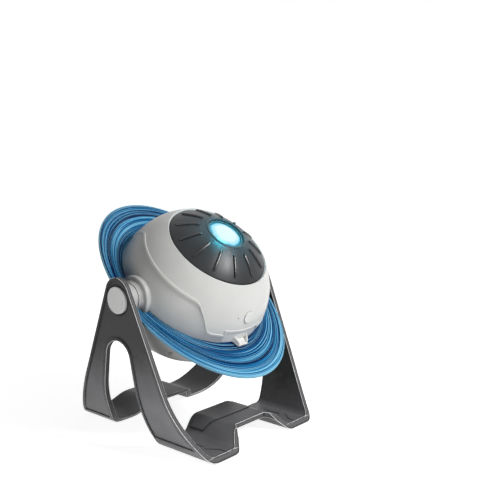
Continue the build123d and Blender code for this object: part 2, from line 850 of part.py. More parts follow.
with BuildPart() as lower_shell:
    # Screw columns and the ledge that carries the battery box, trimmed to the wall.
    pegs(shell_boss_radius, boss_spots, -ball_radius, 0)
    turn(
        (door_opening_radius + ledge_step, box_flange_low_z),
        (ball_radius, box_flange_low_z),
        (ball_radius, ledge_low_z),
        (door_opening_radius + ledge_step, ledge_low_z),
    )
    trim_to_ball(mid_wall_radius)
    ball_skin(cheek_radius, inner_radius, -cheek_radius, -half_ring)
    pegs(door_opening_radius, [(0, 0)], -ball_radius, ledge_low_z, Mode.SUBTRACT)
    pegs(screw_hole_radius, boss_spots, -ball_radius, 1, Mode.SUBTRACT)
    pegs(
        shell_screw_head_radius + screw_clearance,
        boss_spots,
        -ball_radius,
        shell_screw_seat_z,
        Mode.SUBTRACT,
    )
    pegs(box_screw_radius, box_screw_spots, ledge_low_z, box_flange_low_z + 1, Mode.SUBTRACT)
    trunnion_holes()
write(lower_shell.part, "lower_shell")

with BuildPart() as middle_shell:
    pegs(shell_boss_radius, boss_spots, plate_thickness, shell_joint_z)
    trim_to_ball(mid_wall_radius)
    ball_skin(cheek_radius, inner_radius, half_ring, seam_high)
    above_seam(-seam_gap, Mode.SUBTRACT)
    pegs(screw_hole_radius, boss_spots, 0, shell_joint_z, Mode.SUBTRACT)
    ball_block(
        -tray_opening_half,
        tray_opening_half,
        -ball_radius - 1,
        0,
        0,
        tray_panel_high_z + tray_panel_gap,
        Mode.SUBTRACT,
    )
    trunnion_holes()
write(middle_shell.part, "middle_shell")

switch_board_top = -switch_top_depth - switch_height
switch_post_spots = [(-switch_post_x, switch_post_y), (switch_post_x, switch_post_y)]

with BuildPart() as upper_shell:
    pegs(shell_boss_radius, boss_spots, shell_joint_z, ball_radius)
    button_pegs(switch_post_radius, switch_post_spots, switch_board_top, 0)
    trim_to_ball(mid_wall_radius)
    ball_skin(ball_radius, inner_radius, seam_low, ball_radius)
    pegs(screw_hole_radius - screw_clearance, boss_spots, 0, shell_screw_tip_z, Mode.SUBTRACT)
    button_pegs(tower_screw_radius, switch_post_spots, switch_board_top, -8, Mode.SUBTRACT)
    button_pegs(button_radius + button_gap, [(0, 0)], -8, 5, Mode.SUBTRACT)
    button_pegs(pinhole_radius, [(indicator_x, 0)], -8, 5, Mode.SUBTRACT)
    # Round opening for the focus cap, with a bevelled edge.
    turn(
        (0, deck_top_z),
        (cap_opening_radius, deck_top_z),
        (cap_opening_radius, opening_rim_z - cap_opening_bevel),
        (cap_opening_radius + 2 * cap_opening_bevel, opening_rim_z + cap_opening_bevel),
        (0, reach),
        mode=Mode.SUBTRACT,
    )
    # Raised bead along the seam and round the tray's opening
    with BuildPart(mode=Mode.PRIVATE) as bead:
        ball_skin(
            ball_radius + bead_proud, mid_wall_radius, seam_low, seam_high + 2 * bead_width
        )
        above_seam(bead_width, Mode.SUBTRACT)
    with BuildPart(mode=Mode.PRIVATE) as opening_bead:
        opening_top = tray_panel_high_z + tray_panel_gap
        ball_skin(ball_radius + bead_proud, mid_wall_radius, seam_low, 2 * opening_top)
        ball_block(
            -tray_opening_half - bead_width,
            tray_opening_half + bead_width,
            -ball_radius - 1,
            0,
            seam_low,
            opening_top + bead_width,
            Mode.INTERSECT,
        )
    add(bead.part)
    add(opening_bead.part)
    ball_block(
        -tray_opening_half,
        tray_opening_half,
        -ball_radius - 1,
        0,
        0,
        tray_panel_high_z + tray_panel_gap,
        Mode.SUBTRACT,
    )
    # Only the wall stops at the seam: the screw columns go on down to the middle shell's.
    with BuildPart(mode=Mode.PRIVATE) as under_seam:
        ball_skin(ball_radius + 1, inner_radius, seam_low - 1, seam_high + 3)
        above_seam(0, Mode.SUBTRACT)
    add(under_seam.part, mode=Mode.SUBTRACT)
write(upper_shell.part, "upper_shell")

with BuildPart() as shell_screws:
    pegs(shell_screw_radius, boss_spots, shell_screw_seat_z, shell_screw_tip_z)
    pegs(
        shell_screw_head_radius,
        boss_spots,
        shell_screw_seat_z - shell_screw_head_height,
        shell_screw_seat_z,
    )
write(shell_screws.part, "shell_screws")

# ---------------------------------------------------------------- planet ring

with BuildPart() as whole_ring:
    with BuildSketch(ball.offset(-half_ring)):
        Ellipse(ring_side_radius, ring_long_radius)
        Circle(ring_inner_radius, mode=Mode.SUBTRACT)
        # Room for the trunnions: their flange next to the ball, then the slimmer neck.
        flange_room = flange_radius + ring_neck_gap
        neck_room = neck_radius + ring_neck_gap
        for side in (-1, 1):
            with BuildLine():
                Polyline(
                    (0, -flange_room),
                    (side * (flange_rim_x + ring_neck_gap), -flange_room),
                    (side * (neck_start_x + ring_neck_gap), -neck_room),
                    (side * reach, -neck_room),
                    (side * reach, neck_room),
                    (side * (neck_start_x + ring_neck_gap), neck_room),
                    (side * (flange_rim_x + ring_neck_gap), flange_room),
                    (0, flange_room),
                    close=True,
                )
            make_face(mode=Mode.SUBTRACT)
    extrude(amount=ring_thickness)

ring_halves = whole_ring.part.solids().sort_by(Axis.Y)

with BuildPart() as front_ring_half:
    add(ring_halves[0])
write(front_ring_half.part, "front_ring_half")

with BuildPart() as rear_ring_half:
    add(ring_halves[-1])
write(rear_ring_half.part, "rear_ring_half")

# ---------------------------------------------------------------- chassis, with the light tube

rail_inner_x = tray_half_width + tray_gap
rail_top_z = tray_low_z + tray_thickness + tray_gap + rail_lip_thickness
tower_spots = [(x, y) for x in (-tower_x, tower_x) for y in (-tower_y, tower_y)]
sink_screw_spots = [(0, -sink_screw_circle), (0, sink_screw_circle)]
driver_post_spots = [
    (x, driver_board_y + y)
    for x in (-driver_board_size[0] / 2 + 3, driver_board_size[0] / 2 - 3)
    for y in (-driver_board_size[1] / 2 + 3, driver_board_size[1] / 2 - 3)
]
driver_board_low_z = driver_board_top_z - driver_board_thickness

with BuildPart() as chassis:
    pegs(plate_radius, [(0, 0)], 0, plate_thickness)
    for side in (-1, 1):
        rail_outer_x = side * (rail_inner_x + rail_width)
        x_low, x_high = sorted((side * rail_inner_x, rail_outer_x))
        ball_block(x_low, x_high, -56, tray_back_y, plate_thickness, rail_top_z)
        x_low, x_high = sorted((side * (rail_inner_x - rail_lip), rail_outer_x))
        ball_block(x_low, x_high, -56, tray_back_y, rail_top_z - rail_lip_thickness, rail_top_z)
    pegs(light_tube_inner_radius + light_tube_wall, [(0, 0)], light_tube_low_z, 0)
    pegs(
        light_flange_radius,
        [(0, 0)],
        light_tube_low_z,
        light_tube_low_z + light_flange_thickness,
    )
    pegs(light_tube_inner_radius, [(0, 0)], light_tube_low_z, condenser_low_z, Mode.SUBTRACT)
    pegs(
        light_tube_inner_radius, [(0, 0)], condenser_low_z, condenser_low_z + condenser_edge,
        Mode.SUBTRACT,
    )
    pegs(
        light_tube_inner_radius - condenser_ledge,
        [(0, 0)],
        condenser_low_z + condenser_edge,
        plate_thickness,
        Mode.SUBTRACT,
    )
    pegs(driver_post_radius, driver_post_spots, driver_board_top_z, 0)
    pegs(
        driver_pin_radius,
        driver_post_spots,
        driver_board_top_z - driver_pin_length,
        driver_board_top_z,
    )
    pegs(screw_hole_radius, boss_spots, 0, plate_thickness, Mode.SUBTRACT)
    pegs(tower_screw_radius + screw_clearance, tower_spots, 0, plate_thickness, Mode.SUBTRACT)
    pegs(
        tower_screw_radius,
        sink_screw_spots,
        light_tube_low_z,
        light_tube_low_z + light_flange_thickness,
        Mode.SUBTRACT,
    )
    # Room for the inner ends of the trunnions
    for side in (-1, 1):
        x_low, x_high = sorted((side * (core_inner_x - 1), side * ball_radius))
        ball_block(
            x_low, x_high, -core_flange_radius - 1, core_flange_radius + 1, -1, plate_thickness + 1,
            Mode.SUBTRACT,
        )
    trim_to_ball(inner_radius - running_fit)
write(chassis.part, "chassis")

with BuildPart() as condenser_lens:
    add(
        lens(
            light_tube_inner_radius - core_fit,
            light_tube_inner_radius - core_fit - condenser_ledge,
            condenser_low_z,
            condenser_edge,
            condenser_bulge,
        )
    )
write(condenser_lens.part, "condenser_lens")

with BuildPart() as led_board:
    board_low_z = light_tube_low_z - led_board_thickness
    pegs(light_flange_radius, [(0, 0)], board_low_z, light_tube_low_z)
    pegs(
        tower_screw_radius + screw_clearance,
        sink_screw_spots,
        board_low_z,
        light_tube_low_z,
        Mode.SUBTRACT,
    )
write(led_board.part, "led_board")

with BuildPart() as led_emitter:
    turn(
        (0, light_tube_low_z),
        (led_base_radius, light_tube_low_z),
        (led_base_radius, light_tube_low_z + led_base_height),
        (led_dome_radius, light_tube_low_z + led_base_height),
        (led_dome_radius, light_tube_low_z + 2 * led_base_height),
        (led_dome_radius / 2, light_tube_low_z + 3 * led_base_height),
        (0, light_tube_low_z + 3 * led_base_height),
    )
write(led_emitter.part, "led_emitter")

with BuildPart() as heat_sink:
    sink_low_z = board_low_z - sink_base_thickness
    pegs(light_flange_radius, [(0, 0)], sink_low_z, board_low_z)
    with BuildSketch(ball.offset(sink_low_z)) as fins:
        with GridLocations(sink_fin_pitch, 0, sink_fin_count, 1):
            Rectangle(sink_fin_width, 3 * light_flange_radius)
        Circle(light_flange_radius, mode=Mode.INTERSECT)
    extrude(fins.sketch, amount=-sink_fin_height)
    pegs(
        tower_screw_radius + screw_clearance,
        sink_screw_spots,
        sink_low_z,
        board_low_z,
        Mode.SUBTRACT,
    )
write(heat_sink.part, "heat_sink")

with BuildPart() as light_screws:
    pegs(
        tower_screw_radius,
        sink_screw_spots,
        sink_low_z,
        light_tube_low_z + light_flange_thickness,
    )
    pegs(
        sink_screw_head_radius,
        sink_screw_spots,
        sink_low_z - sink_screw_head_height,
        sink_low_z,
    )
write(light_screws.part, "light_screws")

with BuildPart() as driver_board:
    with BuildSketch(ball.offset(driver_board_low_z)):
        with Locations((0, driver_board_y)):
            RectangleRounded(*driver_board_size, 1.5)
        with Locations(*driver_post_spots):
            Circle(driver_pin_radius + 0.1, mode=Mode.SUBTRACT)
    extrude(amount=driver_board_thickness)
    # Inductor, driver chip and two capacitors, all on the lower face
    ball_block(-5, 3, driver_board_y - 4, driver_board_y + 4, driver_board_low_z - 3, driver_board_low_z)
    ball_block(6, 11, driver_board_y - 3, driver_board_y + 1, driver_board_low_z - 1.5, driver_board_low_z)
    board_peg_spots = [(-10, driver_board_y - 2), (6, driver_board_y + 7)]
    pegs(2.5, board_peg_spots, driver_board_low_z - 6, driver_board_low_z)
write(driver_board.part, "driver_board")

# ---------------------------------------------------------------- battery box and its door

box_half_x = cell_pitch + cell_radius + bay_gap + box_wall
box_half_y = bay_length / 2 + box_wall
door_screw_spot = [(0, door_screw_y)]
cell_rows = [row * cell_pitch for row in range(-(cell_count // 2), cell_count // 2 + 1)]

with BuildPart() as battery_box:
    pegs(box_flange_radius, [(0, 0)], box_flange_low_z, box_flange_top_z)
    ball_block(
        -box_half_x, box_half_x, -box_half_y, box_half_y, box_flange_low_z, bay_top_z + box_wall
    )
    ball_block(
        -box_half_x + box_wall,
        box_half_x - box_wall,
        -bay_length / 2,
        bay_length / 2,
        box_flange_low_z,
        bay_top_z,
        Mode.SUBTRACT,
    )
    for row in range(cell_count - 1):
        rib_x = (cell_rows[row] + cell_rows[row + 1]) / 2
        ball_block(
            rib_x - bay_rib / 2,
            rib_x + bay_rib / 2,
            -bay_length / 2 + bay_gap + contact_thickness,
            bay_length / 2 - bay_gap - contact_thickness,
            bay_top_z - bay_rib_depth,
            bay_top_z,
        )
    pegs(door_boss_radius, door_screw_spot, door_boss_top_z, box_flange_low_z)
    pegs(
        door_screw_radius,
        door_screw_spot,
        door_boss_top_z,
        door_screw_seat_z + door_screw_length,
        Mode.SUBTRACT,
    )
    pegs(
        box_screw_radius + screw_clearance,
        box_screw_spots,
        box_flange_low_z,
        box_flange_top_z,
        Mode.SUBTRACT,
    )
write(battery_box.part, "battery_box")

with BuildPart() as box_screws:
    pegs(box_screw_radius, box_screw_spots, ledge_low_z, box_flange_top_z)
    pegs(
        box_screw_head_radius,
        box_screw_spots,
        box_flange_top_z,
        box_flange_top_z + box_screw_head_height,
    )
write(box_screws.part, "box_screws")

door_radius = door_opening_radius - door_gap

with BuildPart() as battery_door:
    door_rib_outer_radius = door_radius - 2 * door_gap
    door_rib_inner_radius = door_rib_outer_radius - door_rib_wall
    turn(
        (door_rib_inner_radius, box_flange_low_z),
        (door_rib_outer_radius, box_flange_low_z),
        (door_rib_outer_radius, -ball_radius),
        (door_rib_inner_radius, -ball_radius),
    )
    pegs(
        door_boss_radius + 0.6, door_screw_spot, -ball_radius, door_boss_top_z - door_boss_gap
    )
    trim_to_ball(mid_wall_radius)
    ball_skin(cheek_radius, inner_radius, -cheek_radius, box_flange_low_z)
    pegs(door_radius, [(0, 0)], -ball_radius, box_flange_low_z, Mode.INTERSECT)
    pegs(
        door_screw_radius + screw_clearance,
        door_screw_spot,
        -ball_radius,
        door_boss_top_z,
        Mode.SUBTRACT,
    )
    pegs(
        door_screw_head_radius + screw_clearance,
        door_screw_spot,
        -ball_radius,
        door_screw_seat_z,
        Mode.SUBTRACT,
    )
write(battery_door.part, "battery_door")

with BuildPart() as battery_door_screw:
    pegs(
        door_screw_head_radius,
        door_screw_spot,
        door_screw_seat_z - door_screw_head_height,
        door_screw_seat_z,
    )
    pegs(
        door_screw_radius, door_screw_spot, door_screw_seat_z, door_screw_seat_z + door_screw_length
    )
    ball_block(
        -2, 2, door_screw_y - 0.4, door_screw_y + 0.4,
        door_screw_seat_z - door_screw_head_height, door_screw_seat_z - 0.7,
        Mode.SUBTRACT,
    )
    ball_block(
        -0.4, 0.4, door_screw_y - 2, door_screw_y + 2,
        door_screw_seat_z - door_screw_head_height, door_screw_seat_z - 0.7,
        Mode.SUBTRACT,
    )
write(battery_door_screw.part, "battery_door_screw")

# Cells lie side by side, every other one turned round. way is +1 where the nub points to the back.
cell_ways = [1 if row % 2 == 0 else -1 for row in range(cell_count)]
contact_face_y = bay_length / 2 - contact_thickness
cell_bottom_y = spring_length - contact_face_y

with BuildPart() as aa_cells:
    for x, way in zip(cell_rows, cell_ways):
        cell_plane = Plane(
            origin=ball.from_local_coords((x, way * cell_bottom_y, cell_axis_z)),
            x_dir=ball.x_dir,
            z_dir=ball.y_dir * way,
        )
        with BuildSketch(cell_plane) as can:
            Circle(cell_radius)
        extrude(can.sketch, amount=cell_length)
        with BuildSketch(cell_plane.offset(cell_length)) as nub:
            Circle(cell_nub_radius)
        extrude(nub.sketch, amount=cell_nub_length)
write(aa_cells.part, "aa_cells")

with BuildPart() as battery_contacts:
    contact_low_z = cell_axis_z - contact_height / 2
    contact_high_z = cell_axis_z + contact_height / 2
    half = contact_width / 2
    # Each end has one plate for a single cell and one that joins the other two.
    spans = [
        (1, cell_rows[0] - half, cell_rows[1] + half),
        (1, cell_rows[2] - half, cell_rows[2] + half),
        (-1, cell_rows[0] - half, cell_rows[0] + half),
        (-1, cell_rows[1] - half, cell_rows[2] + half),
    ]
    for end, x_low, x_high in spans:
        y_low, y_high = sorted((end * contact_face_y, end * bay_length / 2))
        ball_block(x_low, x_high, y_low, y_high, contact_low_z, contact_high_z)
write(battery_contacts.part, "battery_contacts")

with BuildPart() as battery_springs:
    for x, way in zip(cell_rows, cell_ways):
        coil_start = -contact_face_y + spring_wire_radius
        coil_height = spring_length - 2 * spring_wire_radius
        coil_plane = Plane(
            origin=ball.from_local_coords((x, way * coil_start, cell_axis_z)),
            x_dir=ball.x_dir,
            z_dir=ball.y_dir * way,
        )
        coil = Helix(coil_height / spring_turns, coil_height, spring_radius, mode=Mode.PRIVATE)
        coil = coil_plane * coil
        with BuildSketch(Plane(origin=coil @ 0, z_dir=coil % 0)) as wire:
            Circle(spring_wire_radius)
        sweep(wire.sketch, path=coil)
write(battery_springs.part, "battery_springs")

# ---------------------------------------------------------------- lens tower

guide_inner_radius = barrel_radius + guide_fit
guide_outer_radius = guide_inner_radius + guide_tube_wall
slot_half_width = pin_radius + pin_gap
slot_low_z = pin_z - focus_half_travel - slot_half_width
slot_high_z = pin_z + focus_half_travel + slot_half_width

with BuildPart() as lens_tower:
    pegs(deck_radius, [(0, 0)], deck_top_z - deck_thickness, deck_top_z)
    pegs(guide_outer_radius, [(0, 0)], guide_low_z, guide_top_z)
    pegs(guide_inner_radius, [(0, 0)], guide_low_z, guide_top_z, Mode.SUBTRACT)
    ball_block(
        -guide_outer_radius - 1,
        guide_outer_radius + 1,
        -slot_half_width,
        slot_half_width,
        slot_low_z,
        slot_high_z,
        Mode.SUBTRACT,
    )
    pegs(tower_column_radius, tower_spots, plate_thickness, deck_top_z - deck_thickness)
    pegs(
        tower_screw_radius,
        tower_spots,
        plate_thickness,
        tower_screw_length,
        Mode.SUBTRACT,
    )
write(lens_tower.part, "lens_tower")

with BuildPart() as tower_screws:
    pegs(tower_screw_radius, tower_spots, 0, tower_screw_length)
    pegs(tower_screw_radius * 2, tower_spots, -tower_screw_head_height, 0)
write(tower_screws.part, "tower_screws")

# ---------------------------------------------------------------- focus cap

sleeve_inner_radius = guide_outer_radius + running_fit
sleeve_outer_radius = sleeve_inner_radius + sleeve_wall
dome_run = cap_rim_radius - cap_nose_radius
dome_drop = cap_nose_z - cap_rim_z
dome_slant = sqrt(dome_run**2 + dome_drop**2)
dome_normal = (dome_drop / dome_slant, dome_run / dome_slant)


def dome_point(share, rise):
    """A point on the cap's dome, share of the way from its nose to its rim, raised by rise."""
    bulge = 4 * cap_bulge * share * (1 - share) + rise
    r = cap_nose_radius + share * dome_run + bulge * dome_normal[0]
    z = cap_nose_z - share * dome_drop + bulge * dome_normal[1]
    return (r, z)


with BuildPart() as grip_ribs:
    # Grip ribs, cut from a shell that stands above the dome
    with BuildSketch(ball_section):
        with BuildLine():
            low_arc = ThreePointArc(dome_point(0, -0.5), dome_point(0.5, -0.5), dome_point(1, -0.5))
            high_arc = ThreePointArc(
                dome_point(0, rib_height), dome_point(0.5, rib_height), dome_point(1, rib_height)
            )
            Line(low_arc @ 0, high_arc @ 0)
            Line(low_arc @ 1, high_arc @ 1)
        make_face()
    revolve(axis=lens_axis)
    with BuildSketch(ball.offset(cap_rim_z - 5)) as grips:
        rib_middle = (rib_inner_radius + rib_outer_radius) / 2
        with PolarLocations(rib_middle, rib_count, start_angle=rib_first_angle):
            SlotOverall(rib_outer_radius - rib_inner_radius, rib_width)
    extrude(grips.sketch, amount=ball_radius, mode=Mode.INTERSECT)

with BuildPart() as focus_cap:
    # Dome, lip round the lens, skirt with its catch, and the inner sleeve
    with BuildSketch(ball_section):
        with BuildLine():
            outer_arc = ThreePointArc(dome_point(0, 0), dome_point(0.5, 0), dome_point(1, 0))
            inner_arc = ThreePointArc(
                dome_point(0.07, -cap_wall), dome_point(0.5, -cap_wall), dome_point(0.93, -cap_wall)
            )
            skirt_inner_radius = cap_rim_radius - cap_wall
            cap_catch_radius = cap_opening_radius + cap_catch
            cap_skirt_end_z = deck_top_z + cap_skirt_gap
            cap_catch_top_z = cap_skirt_end_z + cap_catch_height
            sleeve_low_z = deck_top_z + sleeve_gap
            Polyline(
                outer_arc @ 1,
                (cap_rim_radius, cap_catch_top_z),
                (cap_catch_radius, cap_catch_top_z),
                (cap_catch_radius, cap_skirt_end_z),
                (skirt_inner_radius, cap_skirt_end_z),
                inner_arc @ 1,
            )
            Polyline(
                inner_arc @ 0,
                (sleeve_outer_radius, cap_under_z),
                (sleeve_outer_radius, sleeve_low_z),
                (sleeve_inner_radius, sleeve_low_z),
                (sleeve_inner_radius, cap_under_z),
                (cap_lens_radius, cap_under_z),
                (cap_lens_radius, cap_lip_z),
                (cap_lip_radius, cap_lip_z),
                outer_arc @ 0,
            )
        make_face()
    revolve(axis=lens_axis)
    add(grip_ribs.part)
    # Slanted slots that drive the guide pins
    slot_plane = Plane(
        origin=ball.from_local_coords((0, 0, pin_z)), x_dir=ball.y_dir, z_dir=ball.x_dir
    )
    slot_rise = focus_half_travel * sleeve_slot_reach / (
        (guide_outer_radius + sleeve_wall / 2) * sin(radians(focus_half_turn))
    )
    for side in (-1, 1):
        with BuildSketch(slot_plane) as slot:
            SlotCenterToCenter(
                2 * sqrt(sleeve_slot_reach**2 + slot_rise**2),
                2 * slot_half_width,
                rotation=-side * degrees(slot_rise / sleeve_slot_reach),
            )
        extrude(slot.sketch, amount=side * (sleeve_outer_radius + 1), mode=Mode.SUBTRACT)
write(focus_cap.part, "focus_cap")

# ---------------------------------------------------------------- lens carrier

barrel_inner_radius = barrel_radius - barrel_wall
ledge_inner_radius = barrel_inner_radius - lens_ledge
lens_rim_radius = barrel_inner_radius - lens_gap

with BuildPart() as lens_barrel:
    turn(
        (barrel_inner_radius, barrel_low_z),
        (barrel_radius, barrel_low_z),
        (barrel_radius, barrel_front_z),
        (barrel_inner_radius, barrel_front_z),
        (barrel_inner_radius, front_lens_seat_z),
        (ledge_inner_radius, front_lens_seat_z),
        (ledge_inner_radius, front_lens_seat_z - 1.2),
        (barrel_inner_radius, front_lens_seat_z - 1.2),
    )
write(lens_barrel.part, "lens_barrel")

pin_plane = Plane(origin=ball.from_local_coords((0, 0, pin_z)), x_dir=ball.y_dir, z_dir=ball.x_dir)

with BuildPart() as guide_pins:
    for side in (-1, 1):
        with BuildSketch(pin_plane.offset(side * barrel_radius)) as pin:
            Circle(pin_radius)
        extrude(pin.sketch, amount=side * (pin_tip_radius - barrel_radius))
    # The pins' inner ends follow the barrel.
    pegs(barrel_radius, [(0, 0)], barrel_low_z, barrel_front_z, Mode.SUBTRACT)
write(guide_pins.part, "guide_pins")

with BuildPart() as front_lens:
    add(lens(lens_rim_radius, lens_rim_radius, front_lens_seat_z, front_lens_edge, front_lens_bulge))
write(front_lens.part, "front_lens")

with BuildPart() as rear_lens:
    add(lens(lens_rim_radius, lens_rim_radius, rear_lens_low_z, rear_lens_edge, rear_lens_bulge))
write(rear_lens.part, "rear_lens")

with BuildPart() as lens_spacer:
    spacer_low_z = rear_lens_low_z + rear_lens_edge
    spacer_high_z = front_lens_seat_z - 1.2
    pegs(lens_rim_radius, [(0, 0)], spacer_low_z, spacer_high_z)
    pegs(ledge_inner_radius, [(0, 0)], spacer_low_z, spacer_high_z, Mode.SUBTRACT)
write(lens_spacer.part, "lens_spacer")

# ---------------------------------------------------------------- disc tray and picture disc

tray_high_z = tray_low_z + tray_thickness
disc_pocket_radius = disc_radius + disc_pocket_gap

with BuildPart() as disc_tray:
    ball_skin(
        cheek_radius, cheek_radius - tray_panel_wall, tray_panel_low_z, tray_panel_high_z
    )
    ball_block(
        -tray_half_width,
        tray_half_width,
        -ball_radius,
        -ball_radius / 2,
        tray_panel_low_z,
        tray_panel_high_z,
        Mode.INTERSECT,
    )
    with BuildSketch(ball.offset(tray_low_z)) as plate:
        with Locations((0, (tray_back_y - ball_radius) / 2)):
            Rectangle(2 * tray_half_width, tray_back_y + ball_radius)
        Circle(mid_wall_radius - 0.3, mode=Mode.INTERSECT)
    extrude(plate.sketch, amount=tray_thickness)
    # Finger tab: a tray of its own with two low side walls that fall towards its tip
    with BuildSketch(ball.offset(tab_low_z)) as tab:
        with BuildLine():
            Polyline(
                (-tab_base_half_width, tab_base_y),
                (-tab_tip_half_width, tab_tip_y),
                (tab_tip_half_width, tab_tip_y),
                (tab_base_half_width, tab_base_y),
                close=True,
            )
        make_face()
        tips = [v for v in vertices() if abs(abs(v.X) - tab_tip_half_width) < 0.01]
        fillet(tips, radius=1.5)
    extrude(tab.sketch, amount=tab_floor_z - tab_low_z)
    for side in (-1, 1):
        with BuildSketch(ball.offset(tab_floor_z)) as wall:
            with BuildLine():
                Polyline(
                    (side * tab_base_half_width, tab_base_y),
                    (side * tab_tip_half_width, tab_tip_y + 1.2),
                    (side * (tab_tip_half_width - tab_wall), tab_tip_y + 1.2),
                    (side * (tab_base_half_width - tab_wall), tab_base_y),
                    close=True,
                )
            make_face()
        extrude(wall.sketch, amount=tab_base_high_z - tab_floor_z)
    fall_plane = Plane(origin=pivot, x_dir=ball.y_dir, z_dir=ball.x_dir)
    with BuildSketch(fall_plane) as fall:
        with BuildLine():
            Polyline(
                (-ball_radius, tab_base_high_z),
                (tab_tip_y, tab_tip_high_z),
                (tab_tip_y - tab_wall, tab_tip_high_z),
                (tab_tip_y - tab_wall, 2 * tab_base_high_z),
                (-ball_radius, 2 * tab_base_high_z),
                close=True,
            )
        make_face()
    extrude(fall.sketch, amount=tab_base_half_width + 2, both=True, mode=Mode.SUBTRACT)
    pegs(tray_window_radius, [(0, 0)], tray_low_z, tray_high_z, Mode.SUBTRACT)
    pegs(disc_pocket_radius, [(0, 0)], disc_pocket_floor_z, tray_high_z, Mode.SUBTRACT)
write(disc_tray.part, "disc_tray")

with BuildPart() as disc_frame:
    film_low_z = disc_pocket_floor_z + disc_thickness / 2
    pegs(disc_radius, [(0, 0)], disc_pocket_floor_z, disc_pocket_floor_z + disc_thickness)
    pegs(film_radius - 1.4, [(0, 0)], disc_pocket_floor_z, film_low_z, Mode.SUBTRACT)
    pegs(film_radius, [(0, 0)], film_low_z, disc_pocket_floor_z + disc_thickness, Mode.SUBTRACT)
write(disc_frame.part, "disc_frame")

with BuildPart() as disc_film:
    pegs(film_radius, [(0, 0)], film_low_z, film_low_z + film_thickness)
write(disc_film.part, "disc_film")

# ---------------------------------------------------------------- power button and its switch

button_flange_low = -button_flange_depth - button_flange_thickness

with BuildPart() as power_button:
    button_pegs(button_radius, [(0, 0)], -button_flange_depth, button_proud)
    button_pegs(button_flange_radius, [(0, 0)], button_flange_low, -button_flange_depth)
    button_pegs(button_stem_radius, [(0, 0)], -plunger_top_depth, button_flange_low)
write(power_button.part, "power_button")

with BuildPart() as switch_plunger:
    button_pegs(plunger_radius, [(0, 0)], -plunger_top_depth - plunger_length, -plunger_top_depth)
write(switch_plunger.part, "switch_plunger")

with BuildPart() as push_switch:
    with BuildSketch(button_plane.offset(switch_board_top)):
        RectangleRounded(switch_size, switch_size, 0.6)
    extrude(amount=switch_height)
    button_pegs(
        plunger_radius + switch_bore_gap,
        [(0, 0)],
        -switch_top_depth - switch_bore_depth,
        -switch_top_depth,
        Mode.SUBTRACT,
    )
write(push_switch.part, "push_switch")

with BuildPart() as switch_board:
    with BuildSketch(button_plane.offset(switch_board_top - switch_board_thickness)):
        RectangleRounded(switch_board_width, switch_board_height, 1)
        with Locations(*switch_post_spots):
            Circle(tower_screw_radius + screw_clearance, mode=Mode.SUBTRACT)
    extrude(amount=switch_board_thickness)
write(switch_board.part, "switch_board")

with BuildPart() as board_screws:
    board_low = switch_board_top - switch_board_thickness
    button_pegs(tower_screw_radius, switch_post_spots, board_low, board_low + board_screw_length)
    button_pegs(
        tower_screw_radius * 2, switch_post_spots, board_low - tower_screw_head_height, board_low
    )
write(board_screws.part, "board_screws")

with BuildPart() as indicator_led:
    led_spot = [(indicator_x, 0)]
    led_low = -indicator_top_depth - indicator_length
    button_pegs(indicator_radius, led_spot, led_low, -indicator_top_depth)
    fillet(faces().sort_by(Axis(pivot, button_direction))[-1].edges(), radius=indicator_radius * 0.9)
    button_pegs(indicator_radius + 0.4, led_spot, led_low, led_low + 0.8)
    lead_spots = [(indicator_x + way * indicator_lead_spacing / 2, 0) for way in (-1, 1)]
    button_pegs(indicator_lead_radius, lead_spots, switch_board_top, led_low)
write(indicator_led.part, "indicator_led")
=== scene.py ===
"""Tabletop planetarium projector: its finishes, ridged ring, lit lens and studio."""

import math
import random

import bmesh
import bpy
from bpy.props import FloatProperty, FloatVectorProperty, IntProperty, PointerProperty
from mathutils import Matrix, Vector


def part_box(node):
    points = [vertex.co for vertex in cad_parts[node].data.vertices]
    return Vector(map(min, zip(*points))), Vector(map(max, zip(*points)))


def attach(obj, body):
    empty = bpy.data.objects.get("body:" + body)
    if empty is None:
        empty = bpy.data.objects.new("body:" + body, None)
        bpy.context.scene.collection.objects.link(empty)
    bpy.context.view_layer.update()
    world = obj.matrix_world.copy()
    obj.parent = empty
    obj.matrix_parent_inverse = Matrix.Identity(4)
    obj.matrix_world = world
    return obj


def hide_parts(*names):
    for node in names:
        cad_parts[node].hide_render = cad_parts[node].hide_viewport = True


bl_info = {
    "name": "Planetarium Projector",
    "version": (1, 0, 0),
    "blender": (4, 5, 0),
    "location": "3D View > Sidebar > Projector",
    "description": "Dresses the planetarium projector and builds its ring and stage",
    "category": "Object",
}

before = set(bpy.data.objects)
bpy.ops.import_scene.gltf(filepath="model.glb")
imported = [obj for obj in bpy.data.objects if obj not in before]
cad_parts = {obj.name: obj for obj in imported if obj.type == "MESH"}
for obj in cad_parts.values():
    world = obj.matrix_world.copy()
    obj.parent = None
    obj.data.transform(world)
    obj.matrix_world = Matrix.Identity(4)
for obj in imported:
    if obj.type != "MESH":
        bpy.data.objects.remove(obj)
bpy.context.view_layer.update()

# The head leans to the front about its pivot, the ball's centre. Its own Z is the lens axis.
TILT = math.radians(39.0)
PIVOT = Vector((0.0, 0.0, 0.127))
HEAD = Matrix.Translation(PIVOT) @ Matrix.Rotation(TILT, 4, "X")

# Texture scale that squeezes an axis to nothing.
FLATTEN = 1e6

# Depth of the fine grain on plastic, metal and lenses.
GRAIN_DEPTH = 0.00002

# Dome of the focus cap, about the lens axis.
CAP_INNER_RADIUS = 0.0195
CAP_OUTER_RADIUS = 0.0464
CAP_TOP = 0.0654
CAP_DROP = 0.014788
CAP_BULGE = 0.0012

# Grip ribs on that dome.
RIB_COUNT = 13
RIB_START = 0.0242
RIB_END = 0.0428
FIRST_RIB = math.radians(111.5)


def colour_setting(name, description, default):
    return FloatVectorProperty(
        name=name,
        description=description,
        default=default,
        min=0.0,
        max=1.0,
        size=3,
        subtype="COLOR",
    )


